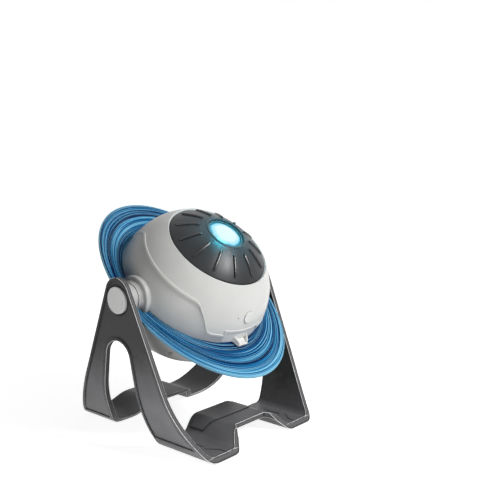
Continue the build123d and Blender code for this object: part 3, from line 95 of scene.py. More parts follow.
def length_setting(name, description, default):
    return FloatProperty(
        name=name, description=description, default=default, min=0.0, unit="LENGTH"
    )


def power_setting(name, description, default):
    return FloatProperty(
        name=name, description=description, default=default, min=0.0, unit="POWER"
    )


def place_setting(name, description, default):
    return FloatVectorProperty(
        name=name, description=description, default=default, size=3, subtype="TRANSLATION"
    )


class StandSettings(bpy.types.PropertyGroup):
    """Finish of the stand"""

    charcoal: colour_setting("Charcoal", "Moulded stand", (0.054, 0.054, 0.056))
    # Painted highlight: lighter colour of the bands' narrow sides.
    band_side_highlight: colour_setting("Cut edge", "Narrow sides of the bands", (0.115, 0.115, 0.118))
    # Painted highlight: light colour of the narrow rounded edges.
    fillet_highlight: colour_setting("Painted-highlight edge", "Painted-highlight edges", (0.72, 0.72, 0.725))
    rubber: colour_setting("Rubber", "Pads under the feet", (0.022, 0.022, 0.022))
    edge_round: length_setting("Edge rounding", "Soft edge of the moulding", 0.0015)
    # Width of the painted shade along each edge.
    rim_width: length_setting("Rim width", "Dark painted rim round each face", 0.0030)
    # Painted sheen: how many times lighter the legs' outer faces are painted low down.
    leg_sheen: FloatProperty(
        name="Leg sheen",
        description="How much lighter the sheen-painted lower legs are",
        default=5.0,
        min=1.0,
    )


class HeadSettings(bpy.types.PropertyGroup):
    """Finish of the ball, its hubs, cap and button"""

    shell: colour_setting("Shell", "Upper shell of the ball", (0.68, 0.68, 0.66))
    band: colour_setting("Band", "Middle and lower shells", (0.58, 0.58, 0.565))
    hub: colour_setting("Hub", "Trunnions of the ball", (0.50, 0.50, 0.49))
    pivot_cap: colour_setting("Pivot cap", "Caps on the arms", (0.92, 0.92, 0.91))
    cap: colour_setting("Focus cap", "Dark cap round the lens", (0.024, 0.025, 0.027))
    rib_width: length_setting("Rib width", "Grip ribs of the cap", 0.0025)
    rib_height: length_setting("Rib height", "Rib above the dome", 0.0014)
    edge_round: length_setting("Edge rounding", "Soft edge of the shells", 0.0005)


class RingSettings(bpy.types.PropertyGroup):
    """Shape and finish of the planet ring"""

    inner_radius: length_setting("Inner radius", "Edge inside the ball", 0.0662)
    side_radius: length_setting("Side radius", "Outer edge beside the arms", 0.0832)
    long_radius: length_setting("Long radius", "Outer edge at front and back", 0.1082)
    half_thickness: length_setting("Half thickness", "Ring plane to a crest", 0.0013)
    ridge_depth: length_setting("Ridge depth", "Crest to groove", 0.00045)
    ridges: IntProperty(name="Ridges", description="Count", default=30, min=4, max=60)
    steps: IntProperty(name="Steps", description="Steps round", default=288, min=48)
    deep: colour_setting("Deep blue", "Darkest bands", (0.002, 0.022, 0.085))
    blue: colour_setting("Blue", "Main colour", (0.001, 0.115, 0.34))
    bright: colour_setting("Bright blue", "Lighter streaks", (0.004, 0.24, 0.50))
    pale: colour_setting("Pale streak", "Thin pale streaks", (0.30, 0.66, 0.86))


class LensSettings(bpy.types.PropertyGroup):
    """Light of the lens"""

    core: colour_setting("Core", "Middle of the lit lens", (0.78, 0.84, 0.89))
    halo: colour_setting("Halo", "Between the middle and the rim", (0.40, 0.74, 0.86))
    rim: colour_setting("Rim", "Rim of the lit lens", (0.01, 0.34, 0.50))
    strength: FloatProperty(
        name="Strength", description="Light given off by the lens", default=0.92, min=0.0
    )
    spill: power_setting("Spill", "Light that spills from the lens on to the cap", 0.42)
    spill_colour: colour_setting("Spill colour", "Colour of that light", (0.03, 0.75, 1.0))
    spill_height: length_setting("Spill height", "Its lamp above the ball's centre", 0.098)
    spill_cone: FloatProperty(
        name="Spill cone",
        description="Full angle of that lamp's cone",
        default=math.radians(92.0),
        min=0.0,
        subtype="ANGLE",
    )


class StageSettings(bpy.types.PropertyGroup):
    """Lamps, floor and camera"""

    key_power: power_setting("Key", "Main lamp", 10.8)
    key_place: place_setting("Key place", "Where the main lamp hangs", (0.27, -0.87, 0.77))
    fill_power: power_setting("Fill", "Low lamp on the left", 0.42)
    fill_place: place_setting("Fill place", "Where the low lamp is", (-0.36, -0.16, 0.03))
    fill_aim: place_setting("Fill aim", "Spot that it lights", (-0.085, 0.0, 0.04))
    top_power: power_setting("Top", "Lamp overhead", 1.0)
    top_place: place_setting("Top place", "Where that lamp hangs", (0.25, -0.10, 1.1))
    room_light: FloatProperty(
        name="Room", description="Even light of the room", default=0.045, min=0.0
    )
    focal_length: FloatProperty(
        name="Focal length",
        description="Lens of the camera",
        default=55.465,
        min=1.0,
        unit="CAMERA",
    )
    camera_place: place_setting(
        "Camera", "Where the camera stands", (-0.48375, -0.48051, 0.2564)
    )
    camera_aim: FloatVectorProperty(
        name="Aim",
        description="Direction that the camera looks in",
        default=(0.7504, 0.6469, -0.1354),
        size=3,
        subtype="DIRECTION",
    )


# ------------------------------------------------------------------ finishes


class Finish:
    """One material's node tree, with a call for each kind of node used here."""

    def __init__(self, name, colour=(0.5, 0.5, 0.5), roughness=0.5, **sockets):
        self.material = bpy.data.materials.new(name)
        self.material.use_nodes = True
        self.nodes = self.material.node_tree.nodes
        self.links = self.material.node_tree.links
        self.shader = self.nodes["Principled BSDF"]
        self.material.diffuse_color = (*colour[:3], 1.0)
        self.set("Base Color", (*colour[:3], 1.0))
        self.set("Roughness", roughness)
        for socket, value in sockets.items():
            self.set(socket.replace("_", " ").title().replace("Ior", "IOR"), value)

    def set(self, socket, value):
        self.shader.inputs[socket].default_value = value

    def link(self, output, socket):
        self.links.new(output, self.shader.inputs[socket])

    def node(self, kind, **settings):
        made = self.nodes.new(kind)
        for key, value in settings.items():
            setattr(made, key, value)
        return made

    def place(self, scale=(1, 1, 1), move=(0, 0, 0), turn=(0, 0, 0), kind="POINT"):
        """Object coordinates through a Mapping node."""
        coordinates = self.node("ShaderNodeTexCoord")
        mapping = self.node("ShaderNodeMapping", vector_type=kind)
        mapping.inputs["Location"].default_value = move
        mapping.inputs["Rotation"].default_value = turn
        mapping.inputs["Scale"].default_value = scale
        self.links.new(coordinates.outputs["Object"], mapping.inputs["Vector"])
        return mapping.outputs["Vector"]

    def head_place(self, scale=(1, 1, 1)):
        """Coordinates about the ball's centre, with Z along the lens axis."""
        return self.place(move=PIVOT, turn=(TILT, 0, 0), scale=scale, kind="TEXTURE")

    def noise(self, vector, scale, detail=3.0, rough=0.5, distortion=0.0):
        made = self.node("ShaderNodeTexNoise")
        made.inputs["Scale"].default_value = scale
        made.inputs["Detail"].default_value = detail
        made.inputs["Roughness"].default_value = rough
        made.inputs["Distortion"].default_value = distortion
        self.links.new(vector, made.inputs["Vector"])
        return made.outputs["Fac"]

    def clouding(self, vector):
        """Faint patches about 25 mm wide."""
        return self.noise(vector, 38.0, detail=4.0, rough=0.6)

    def smears(self, vector):
        """Traces of handling about 10 mm wide."""
        return self.noise(vector, 90.0, detail=5.0, rough=0.65, distortion=0.6)

    def grain(self, vector, scale=2600.0):
        """Fine pits of a mould's surface."""
        return self.noise(vector, scale, detail=2.0, rough=0.6)

    def spots(self, vector, scale):
        """Distance to the nearest of many scattered points."""
        made = self.node("ShaderNodeTexVoronoi")
        made.inputs["Scale"].default_value = scale
        self.links.new(vector, made.inputs["Vector"])
        return made.outputs["Distance"]

    def parts(self, vector):
        """X, Y and Z of a vector."""
        made = self.node("ShaderNodeSeparateXYZ")
        self.links.new(vector, made.inputs[0])
        return made.outputs

    def length(self, vector):
        """Length of a vector, which is the distance from the origin."""
        made = self.node("ShaderNodeVectorMath", operation="LENGTH")
        self.links.new(vector, made.inputs[0])
        return made.outputs["Value"]

    def math(self, operation, a, b=0.5, clamp=False):
        made = self.node("ShaderNodeMath", operation=operation, use_clamp=clamp)
        for socket, value in zip(made.inputs, (a, b)):
            if isinstance(value, (int, float)):
                socket.default_value = value
            else:
                self.links.new(value, socket)
        return made.outputs[0]

    def spread(self, value, low, high, to_low=0.0, to_high=1.0):
        """Value from low..high spread over to_low..to_high."""
        made = self.node("ShaderNodeMapRange")
        self.links.new(value, made.inputs["Value"])
        for socket, number in zip(
            ("From Min", "From Max", "To Min", "To Max"), (low, high, to_low, to_high)
        ):
            made.inputs[socket].default_value = number
        return made.outputs["Result"]

    def ramp(self, value, stops, interpolation="LINEAR"):
        made = self.node("ShaderNodeValToRGB")
        bar = made.color_ramp
        bar.interpolation = interpolation
        while len(bar.elements) < len(stops):
            bar.elements.new(1.0)
        for element, (place, colour) in zip(bar.elements, stops):
            element.position = place
            element.color = (*colour[:3], 1.0)
        self.links.new(value, made.inputs["Fac"])
        return made.outputs["Color"]

    def mix(self, share, a, b, blend="MIX"):
        made = self.node("ShaderNodeMix", data_type="RGBA", blend_type=blend)
        for socket, value in zip((0, 6, 7), (share, a, b)):
            if isinstance(value, (int, float)):
                made.inputs[socket].default_value = value
            elif isinstance(value, bpy.types.NodeSocket):
                self.links.new(value, made.inputs[socket])
            else:
                made.inputs[socket].default_value = (*value[:3], 1.0)
        return made.outputs[2]

    def soft_edge(self, radius):
        """Normal that is rounded over at every edge."""
        made = self.node("ShaderNodeBevel", samples=6)
        made.inputs["Radius"].default_value = radius
        return made.outputs["Normal"]

    def edge_share(self, radius):
        """About 1 on an edge and 0 on a flat face."""
        gain = 3.0
        rounded = self.soft_edge(radius)
        flat = self.node("ShaderNodeNewGeometry")
        dot = self.node("ShaderNodeVectorMath", operation="DOT_PRODUCT")
        self.links.new(rounded, dot.inputs[0])
        self.links.new(flat.outputs["Normal"], dot.inputs[1])
        turned = self.math("SUBTRACT", 1.0, dot.outputs["Value"], clamp=True)
        return self.math("MULTIPLY", turned, gain, clamp=True)

    def relief(self, height, depth, edge_round=None):
        """Gives the surface a fine relief, over edges that are rounded where asked."""
        made = self.node("ShaderNodeBump")
        made.inputs["Strength"].default_value = 1.0
        made.inputs["Distance"].default_value = depth
        self.links.new(height, made.inputs["Height"])
        if edge_round is not None:
            self.links.new(self.soft_edge(edge_round), made.inputs["Normal"])
        self.link(made.outputs["Normal"], "Normal")


def tone(colour, factor):
    """The colour made darker or lighter."""
    return tuple(min(1.0, max(0.0, channel * factor)) for channel in colour[:3])


def moulded_plastic(
    name,
    colour,
    roughness,
    edge_round=0.0004,
    grain=2600.0,
    mottle=0.06,
    painted_highlight_colour=None,
    **sockets,
):
    """Moulded plastic: fine grain, faint clouding and rounded edges, which take a painted
    highlight where a highlight colour is given.
    """
    f = Finish(name, colour, roughness, **sockets)
    where = f.place()
    shade = f.ramp(
        f.clouding(where),
        [(0.3, tone(colour, 1 - mottle)), (0.7, tone(colour, 1 + mottle))],
    )
    # Painted highlight: the edges are lightened towards the given colour.
    if painted_highlight_colour is not None:
        shade = f.mix(f.edge_share(edge_round * 1.3), shade, painted_highlight_colour)
    f.link(shade, "Base Color")
    gloss = f.spread(f.smears(where), 0.25, 0.75, roughness - 0.05, roughness + 0.06)
    f.link(gloss, "Roughness")
    f.relief(f.grain(where, grain), GRAIN_DEPTH, edge_round)
    return f.material


def brushed_metal(name, colour, roughness):
    """Bare metal with fine drawn lines and dull patches."""
    f = Finish(name, colour, roughness, metallic=1.0)
    lines = f.noise(f.place(scale=(1, 1, 12)), 420.0, detail=4.0, rough=0.7)
    dull = f.noise(f.place(), 160.0, detail=4.0)
    f.link(
        f.ramp(dull, [(0.3, tone(colour, 0.82)), (0.7, tone(colour, 1.08))]),
        "Base Color",
    )
    f.link(f.spread(lines, 0.3, 0.7, roughness - 0.08, roughness + 0.12), "Roughness")
    f.relief(lines, GRAIN_DEPTH, edge_round=0.0002)
    return f.material


def shade_nodes(material, *names):
    """Gives solids of the model one finish."""
    for name in names:
        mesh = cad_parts[name].data
        if mesh.materials:
            for slot in range(len(mesh.materials)):
                mesh.materials[slot] = material
        else:
            mesh.materials.append(material)


def finished_piece(bm, name, materials, body):
    """Closes a bmesh into a named piece that rides on a body."""
    sharp = math.radians(32)
    bmesh.ops.remove_doubles(bm, verts=bm.verts, dist=1e-7)
    bmesh.ops.recalc_face_normals(bm, faces=bm.faces)
    for face in bm.faces:
        face.smooth = True
    for edge in bm.edges:
        edge.smooth = edge.is_manifold and edge.calc_face_angle(0.0) < sharp
    mesh = bpy.data.meshes.new(name)
    bm.to_mesh(mesh)
    bm.free()
    for material in materials:
        mesh.materials.append(material)
    piece = bpy.data.objects.new(name, mesh)
    bpy.context.scene.collection.objects.link(piece)
    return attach(piece, body)


# ------------------------------------------------------------------ planet ring


def ring_profile(ring):
    """Heights of the ring's crests and grooves, by share of its width from inside out."""
    chance = random.Random(11)
    plain, first, last, narrowest, thin = 0.12, 0.14, 0.97, 0.007, 0.42
    edges = sorted(chance.uniform(first, last) for _ in range(ring.ridges))
    crest = ring.half_thickness
    points = [(0.0, crest), (plain, crest)]
    for here, after in zip(edges, edges[1:] + [1.0]):
        gap = after - here
        if gap < narrowest:
            continue
        level = crest - ring.ridge_depth * chance.uniform(0.0, 0.55)
        groove = level - ring.ridge_depth * chance.uniform(0.5, 1.0)
        points.append((here, groove))
        points.append((here + 0.3 * gap, level))
        points.append((here + 0.75 * gap, level - 0.1 * ring.ridge_depth))
    points.append((1.0, crest * thin))
    return points


def ringed_disc(ring):
    """The whole ridged ring: a profile spun round, its outer edge drawn to an oval."""
    bm = bmesh.new()
    top = ring_profile(ring)
    loop = [bm.verts.new((1.0 + t, 0.0, z)) for t, z in top]
    loop += [bm.verts.new((1.0 + t, 0.0, -z)) for t, z in reversed(top)]
    for a, b in zip(loop, loop[1:] + loop[:1]):
        bm.edges.new((a, b))
    bmesh.ops.spin(
        bm,
        geom=bm.verts[:] + bm.edges[:],
        cent=(0, 0, 0),
        axis=(0, 0, 1),
        angle=2 * math.pi,
        steps=ring.steps,
        use_merge=True,
    )
    uv = bm.loops.layers.uv.new("streaks")
    for face in bm.faces:
        middle = face.calc_center_median()
        turn = math.atan2(middle.y, middle.x)
        for corner in face.loops:
            x, y = corner.vert.co.x, corner.vert.co.y
            angle = math.atan2(y, x)
            if angle - turn > math.pi:
                angle -= 2 * math.pi
            elif turn - angle > math.pi:
                angle += 2 * math.pi
            corner[uv].uv = (angle / math.pi, math.hypot(x, y) - 1.0)
    for vert in bm.verts:
        x, y = vert.co.x, vert.co.y
        share = math.hypot(x, y) - 1.0
        angle = math.atan2(y, x)
        reach = 1.0 / math.hypot(
            math.cos(angle) / ring.side_radius, math.sin(angle) / ring.long_radius
        )
        radius = ring.inner_radius + share * (reach - ring.inner_radius)
        vert.co.x, vert.co.y = radius * math.cos(angle), radius * math.sin(angle)
    return bm


def hub_room(flange_half, rim_x, neck_half, neck_x):
    """Prism that clears a trunnion out of the ring, on both sides."""
    bm = bmesh.new()
    start, reach, half_height = 0.03, 0.12, 0.006
    for side in (-1, 1):
        outline = [
            (start, -flange_half),
            (rim_x, -flange_half),
            (neck_x, -neck_half),
            (reach, -neck_half),
            (reach, neck_half),
            (neck_x, neck_half),
            (rim_x, flange_half),
            (start, flange_half),
        ]
        low = [bm.verts.new((side * x, y, -half_height)) for x, y in outline]
        raised = bmesh.ops.extrude_face_region(bm, geom=[bm.faces.new(low)])
        top = [v for v in raised["geom"] if isinstance(v, bmesh.types.BMVert)]
        bmesh.ops.translate(bm, verts=top, vec=(0, 0, 2 * half_height))
    bmesh.ops.recalc_face_normals(bm, faces=bm.faces)
    return bm


def cut_out(bm, cutter_bm):
    """A closed bmesh less another."""
    made = []
    for shape in (bm, cutter_bm):
        mesh = bpy.data.meshes.new("work")
        shape.to_mesh(mesh)
        shape.free()
        made.append(bpy.data.objects.new("work", mesh))
        bpy.context.scene.collection.objects.link(made[-1])
    body, cutter = made
    cut = body.modifiers.new("cut", "BOOLEAN")
    cut.operation, cut.solver, cut.object = "DIFFERENCE", "EXACT", cutter
    bpy.context.view_layer.update()
    result = bmesh.new()
    shown = body.evaluated_get(bpy.context.evaluated_depsgraph_get())
    result.from_mesh(shown.to_mesh())
    shown.to_mesh_clear()
    for work in made:
        mesh = work.data
        bpy.data.objects.remove(work)
        bpy.data.meshes.remove(mesh)
    return result


def ring_finish(ring):
    """Blue plastic with streaks that run round the ring."""
    f = Finish("streaked_ring", ring.blue, 0.42, specular_ior_level=0.06)
    uv = f.node("ShaderNodeUVMap", uv_map="streaks")

    def along(length, across, shift):
        mapping = f.node("ShaderNodeMapping")
        mapping.inputs["Scale"].default_value = (length, across, 1.0)
        mapping.inputs["Location"].default_value = (shift, shift * 1.7, shift)
        f.links.new(uv.outputs["UV"], mapping.inputs["Vector"])
        return mapping.outputs["Vector"]

    outwards = f.parts(uv.outputs["UV"])["Y"]
    broad = f.noise(along(0.8, 8.0, 3.1), 1.0, detail=2.0)
    fine = f.noise(along(2.2, 46.0, 7.7), 1.0, detail=2.0, rough=0.6)
    hair = f.noise(along(3.0, 120.0, 1.3), 1.0, detail=1.0)
    level = f.math("MULTIPLY_ADD", broad, 0.35)
    f.links.new(f.math("MULTIPLY", fine, 0.65), level.node.inputs[2])
    level = f.math("ADD", level, f.spread(outwards, 0.1, 1.0, -0.05, -0.012))
    base = f.ramp(
        level,
        [(0.42, ring.deep), (0.47, ring.blue), (0.52, ring.bright), (0.60, ring.pale)],
    )
    streaked = f.mix(f.spread(hair, 0.585, 0.64, 0.0, 0.8), base, ring.pale)
    shaded = f.mix(f.spread(hair, 0.42, 0.34, 0.0, 0.7), streaked, ring.deep)
    f.link(f.mix(f.spread(outwards, 0.95, 1.0, 0.0, 0.6), shaded, ring.pale), "Base Color")
    f.link(f.spread(fine, 0.3, 0.7, 0.30, 0.46), "Roughness")
    f.relief(hair, 0.00006, edge_round=0.0002)
    return f.material


class PROJECTOR_OT_ring(bpy.types.Operator):
    """Build the two ridged halves of the planet ring"""

    bl_idname = "projector.ring"
    bl_label = "Planet Ring"

    def execute(self, context):
        ring = context.scene.projector_ring
        finish = ring_finish(ring)
        room = hub_room(flange_half=0.0189, rim_x=0.0729, neck_half=0.0129, neck_x=0.0767)
        whole = cut_out(ringed_disc(ring), room)
        for name, side in (("front_ring", -1), ("rear_ring", 1)):
            half = whole.copy()
            other = [v for v in half.verts if v.co.y * side < 0]
            bmesh.ops.delete(half, geom=other, context="VERTS")
            half.transform(HEAD)
            piece = finished_piece(half, name, [finish], "head")
            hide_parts(name + "_half")
        whole.free()
        return {"FINISHED"}


# ------------------------------------------------------------------ stand and hubs


def edged_copy(name):
    """Merged copy of the stand whose narrow rounded edges take the second finish, a painted
    highlight.
    """
    edge_width, level, foot_height = 0.0003, 0.03, 0.025
    bm = bmesh.new()
    bm.from_mesh(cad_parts[name].data)
    bmesh.ops.remove_doubles(bm, verts=bm.verts, dist=1e-6)
    for face in bm.faces:
        normal, height = face.normal, face.calc_center_median().z
        longest = max(edge.calc_length() for edge in face.edges)
        narrow = 2 * face.calc_area() / longest < edge_width
        band = abs(normal.y) < level
        wall = abs(normal.z) < level or (abs(normal.x) < level and height > foot_height)
        face.material_index = 1 if narrow and not band and not wall else 0
    return bm


def stand_finish(stand):
    """Charcoal moulding with painted light and shade: dark rims along the edges, a shadow round
    each pivot cap, lighter band sides and a sheen on the lower legs.
    """
    f = Finish("charcoal_moulding", stand.charcoal, 0.40, specular_ior_level=0.20)
    where = f.place()
    spot = f.parts(where)
    surface = f.node("ShaderNodeNewGeometry")
    turned = f.parts(surface.outputs["Normal"])
    facing = f.parts(surface.outputs["True Normal"])

    # Painted light and shade: low down, the legs' outer faces take a painted sheen, and the
    # inner faces and the base's tops are painted lighter. Higher up, the inner faces are
    # painted darker, where the ball's shade falls. Outer faces turn away from the middle.
    cloud = f.clouding(where)
    uneven = f.math("ADD", spot["Z"], f.spread(cloud, 0.3, 0.7, -0.012, 0.012))
    outside = f.math("MULTIPLY", turned["X"], spot["X"])
    inner = f.mix(
        f.spread(uneven, 0.012, 0.036), tone(stand.charcoal, 1.8), tone(stand.charcoal, 0.6)
    )
    outer = f.mix(
        f.spread(uneven, 0.042, 0.088), tone(stand.charcoal, stand.leg_sheen), stand.charcoal
    )
    legs = f.mix(f.spread(outside, -0.0125, 0.05), inner, outer)
    mottle = f.ramp(cloud, [(0.3, (0.86, 0.86, 0.86)), (0.7, (1.1, 1.1, 1.1))])
    shade = f.mix(1.0, legs, mottle, "MULTIPLY")

    # Painted highlight: the narrow sides of the bands are lighter. Painted shade: a dark rim
    # along every edge.
    trim = f.spread(f.math("ABSOLUTE", facing["Y"]), 0.25, 0.5, 0.0, 0.9)
    shade = f.mix(trim, shade, stand.band_side_highlight)
    share = f.edge_share(stand.rim_width)
    shade = f.mix(f.spread(share, 0.02, 0.10), shade, tone(stand.charcoal, 0.08))

    # Painted shadow in a ring round each pivot cap, by the distance from the pivot's axis.
    axis_distance = f.length(f.place(move=PIVOT, scale=(FLATTEN, 1, 1), kind="TEXTURE"))
    cap_gap_shadow = f.spread(axis_distance, 0.0140, 0.0134, 0.0, 0.92)
    f.link(f.mix(cap_gap_shadow, shade, tone(stand.charcoal, 0.12)), "Base Color")

    # Glossier along the edges than on the faces.
    polish = f.spread(share, 0.15, 0.5, 0.0, 0.20)
    matt = f.spread(f.smears(where), 0.25, 0.75, 0.35, 0.45)
    f.link(f.math("SUBTRACT", matt, polish), "Roughness")
    f.relief(f.grain(where), GRAIN_DEPTH, stand.edge_round)
    return f.material


class PROJECTOR_OT_stand(bpy.types.Operator):
    """Finish the moulded stand and its rubber feet"""

    bl_idname = "projector.stand"
    bl_label = "Stand"

    def execute(self, context):
        stand = context.scene.projector_stand
        # Painted highlight: a light finish for the narrow rounded edges.
        highlight_moulding = moulded_plastic("edge_shine_plastic", stand.fillet_highlight, 0.28, mottle=0.2)
        moulding = finished_piece(
            edged_copy("stand_frame"),
            "moulded_stand",
            [stand_finish(stand), highlight_moulding],
            "stand",
        )
        weighted = moulding.modifiers.new("even shading", "WEIGHTED_NORMAL")
        weighted.keep_sharp = True
        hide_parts("stand_frame")
        shade_nodes(
            moulded_plastic("pad_rubber", stand.rubber, 0.8, grain=1500.0, mottle=0.15),
            "rubber_feet",
        )
        return {"FINISHED"}


class PROJECTOR_OT_hubs(bpy.types.Operator):
    """Finish the trunnions, pivot caps, bushes and pivot fasteners"""

    bl_idname = "projector.hubs"
    bl_label = "Hubs"

    def execute(self, context):
        head = context.scene.projector_head
        shade_nodes(
            moulded_plastic("hub_grey", head.hub, 0.36, mottle=0.03),
            "left_trunnion",
            "right_trunnion",
        )
        shade_nodes(
            moulded_plastic("pivot_cap_white", head.pivot_cap, 0.36, mottle=0.03),
            "left_pivot_cap",
            "right_pivot_cap",
        )
        shade_nodes(
            moulded_plastic("bush_white", (0.70, 0.69, 0.62), 0.45), "pivot_bushes"
        )
        shade_nodes(
            brushed_metal("zinc_steel", (0.56, 0.57, 0.58), 0.30),
            "pivot_screws",
            "pivot_washers",
            "shell_screws",
            "tower_screws",
            "light_screws",
            "box_screws",
            "board_screws",
            "battery_door_screw",
            "guide_pins",
        )
        return {"FINISHED"}


class PROJECTOR_OT_shells(bpy.types.Operator):
    """Finish the ball's shells, its battery door, button and tray"""

    bl_idname = "projector.shells"
    bl_label = "Shells"

    def execute(self, context):
        head = context.scene.projector_head
        for name, colour, nodes in (
            ("shell_light_grey", head.shell, ("upper_shell",)),
            ("shell_grey", head.band, ("middle_shell", "lower_shell", "battery_door")),
        ):
            shell = moulded_plastic(
                name,
                colour,
                0.38,
                edge_round=head.edge_round,
                mottle=0.035,
                # Painted highlight along the shells' edges.
                painted_highlight_colour=tone(head.shell, 1.25),
            )
            shade_nodes(shell, *nodes)
        shade_nodes(
            moulded_plastic("button_grey", tone(head.shell, 1.05), 0.32), "power_button"
        )
        shade_nodes(moulded_plastic("tray_white", tone(head.shell, 1.12), 0.38), "disc_tray")
        return {"FINISHED"}


def dome_spot(radius, rise):
    """Distance from the lens axis and height of a spot above the cap's dome."""
    run = CAP_OUTER_RADIUS - CAP_INNER_RADIUS
    slant = math.hypot(run, CAP_DROP)
    share = (radius - CAP_INNER_RADIUS) / run
    stand_off = 4 * CAP_BULGE * share * (1 - share) + rise
    height = CAP_TOP - share * CAP_DROP
    return radius + stand_off * CAP_DROP / slant, height + stand_off * run / slant


def grip_ribs(head):
    """Rounded bars that lie on the cap's ribs, from its lens to its rim."""
    bm = bmesh.new()
    round_end = head.rib_width / 2
    middle, run = (RIB_START + RIB_END) / 2, (RIB_END - RIB_START) / 2 - round_end
    bmesh.ops.create_uvsphere(bm, u_segments=16, v_segments=12, radius=1.0)
    bmesh.ops.rotate(bm, verts=bm.verts, matrix=Matrix.Rotation(math.pi / 2, 3, "Y"))
    for vert in bm.verts:
        x, y, z = vert.co
        square = (abs(y) ** 3 + abs(z) ** 3) ** (1 / 3)
        fill = math.hypot(y, z) / square if square > 1e-9 else 1.0
        end = 0.0 if abs(x) < 1e-4 else math.copysign(run, x)
        vert.co = (x * round_end + end, y * fill * round_end, z * fill * head.rib_height)
    long_edges = [e for e in bm.edges if e.calc_length() > run * 0.8]
    bmesh.ops.subdivide_edges(bm, edges=long_edges, cuts=3, use_grid_fill=True)
    for vert in bm.verts:
        radius, height = dome_spot(middle + vert.co.x, vert.co.z)
        vert.co = (radius, vert.co.y, height)
    bm.transform(Matrix.Rotation(FIRST_RIB, 4, "Z"))
    bmesh.ops.spin(
        bm,
        geom=bm.verts[:] + bm.edges[:] + bm.faces[:],
        cent=(0, 0, 0),
        axis=(0, 0, 1),
        angle=2 * math.pi * (RIB_COUNT - 1) / RIB_COUNT,
        steps=RIB_COUNT - 1,
        use_duplicate=True,
    )
    bm.transform(HEAD)
    return bm


class PROJECTOR_OT_focus_cap(bpy.types.Operator):
    """Finish the dark focus cap, its ribs and the lens barrel inside it"""

    bl_idname = "projector.focus_cap"
    bl_label = "Focus Cap"

    def execute(self, context):
        head = context.scene.projector_head
        shade_nodes(
            moulded_plastic(
                "cap_charcoal",
                head.cap,
                0.34,
                edge_round=0.0005,
                mottle=0.08,
                # Painted highlight along the cap's edges.
                painted_highlight_colour=tone(head.cap, 2.6),
                specular_ior_level=0.26,
            ),
            "focus_cap",
        )
        # Painted shade: the ribs take a darker copy of the cap's plastic.
        glossy = moulded_plastic("rib_charcoal", tone(head.cap, 0.4), 0.20, mottle=0.08)
        finished_piece(grip_ribs(head), "grip_ribs", [glossy], "focus")
        shade_nodes(
            moulded_plastic("barrel_black", (0.03, 0.032, 0.034), 0.45), "lens_barrel"
        )
        shade_nodes(
            moulded_plastic("inner_black", (0.018, 0.018, 0.019), 0.6),
            "lens_spacer",
            "lens_tower",
            "chassis",
            "disc_frame",
            "battery_box",
        )
        return {"FINISHED"}


# ------------------------------------------------------------------ lenses and works


def clear_acrylic(name, tint):
    """Clear moulded lens with faint swirls."""
    f = Finish(name, tint, 0.04, transmission_weight=1.0, ior=1.49)
    swirl = f.noise(f.place(), 60.0, detail=3.0)
    f.link(f.ramp(swirl, [(0.3, tone(tint, 0.94)), (0.7, tint)]), "Base Color")
    f.link(f.spread(swirl, 0.3, 0.7, 0.02, 0.07), "Roughness")
    f.relief(swirl, GRAIN_DEPTH)
    return f.material


def lit_lens(lens, radius):
    """Front lens with the lamp on: white in the middle, cyan towards its rim."""
    f = Finish("lit_lens", lens.core, 0.14, specular_ior_level=0.12)
    axis_distance = f.length(f.head_place(scale=(1, 1, FLATTEN)))
    share = f.math("DIVIDE", axis_distance, radius)
    haze = f.noise(f.head_place(), 110.0, detail=3.0)
    wavy = f.math("ADD", share, f.spread(haze, 0.3, 0.7, -0.06, 0.06))
    glow = f.ramp(
        wavy,
        [
            (0.58, lens.core),
            (0.82, lens.halo),
            (0.96, lens.rim),
            (1.0, tone(lens.rim, 0.45)),
        ],
        "EASE",
    )
    f.link(f.mix(0.98, glow, (0.01, 0.012, 0.012)), "Base Color")
    f.link(glow, "Emission Color")
    f.set("Emission Strength", lens.strength)
    f.link(f.spread(haze, 0.3, 0.7, 0.10, 0.18), "Roughness")
    return f.material


def spill_lamp(lens):
    """Lamp above the lens, whose soft cone tints the cap and turns with the head."""
    glow = bpy.data.lights.new("lens_spill", "SPOT")
    glow.energy, glow.color = lens.spill, lens.spill_colour
    glow.shadow_soft_size = 0.010
    glow.spot_size, glow.spot_blend = lens.spill_cone, 0.9
    spill = bpy.data.objects.new("lens_spill", glow)
    bpy.context.scene.collection.objects.link(spill)
    spill.location = HEAD @ Vector((0.0, 0.0, lens.spill_height))
    spill.rotation_euler = HEAD.to_euler()
    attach(spill, "head")


class PROJECTOR_OT_lenses(bpy.types.Operator):
    """Finish the lit front lens and the clear lenses behind it"""

    bl_idname = "projector.lenses"
    bl_label = "Lenses"

    def execute(self, context):
        lens = context.scene.projector_lens
        low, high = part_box("front_lens")
        shade_nodes(lit_lens(lens, (high.x - low.x) / 2), "front_lens")
        spill_lamp(lens)
        shade_nodes(
            clear_acrylic("clear_lens", (0.93, 0.97, 0.98)),
            "rear_lens",
            "condenser_lens",
        )
        return {"FINISHED"}


def circuit_board():
    """Green board with copper traces under its mask."""
    f = Finish("circuit_board", (0.012, 0.11, 0.04), 0.35)
    where = f.place()
    tracks = f.node("ShaderNodeTexBrick")
    tracks.inputs["Scale"].default_value = 260.0
    tracks.inputs["Mortar Size"].default_value = 0.09
    tracks.inputs["Color1"].default_value = (0.010, 0.095, 0.034, 1)
    tracks.inputs["Color2"].default_value = (0.012, 0.12, 0.045, 1)
    tracks.inputs["Mortar"].default_value = (0.03, 0.19, 0.06, 1)
    f.links.new(where, tracks.inputs["Vector"])
    f.link(tracks.outputs["Color"], "Base Color")
    blur = f.noise(where, 300.0)
    f.link(f.spread(blur, 0.3, 0.7, 0.28, 0.45), "Roughness")
    f.relief(tracks.outputs["Fac"], 0.00003)
    return f.material


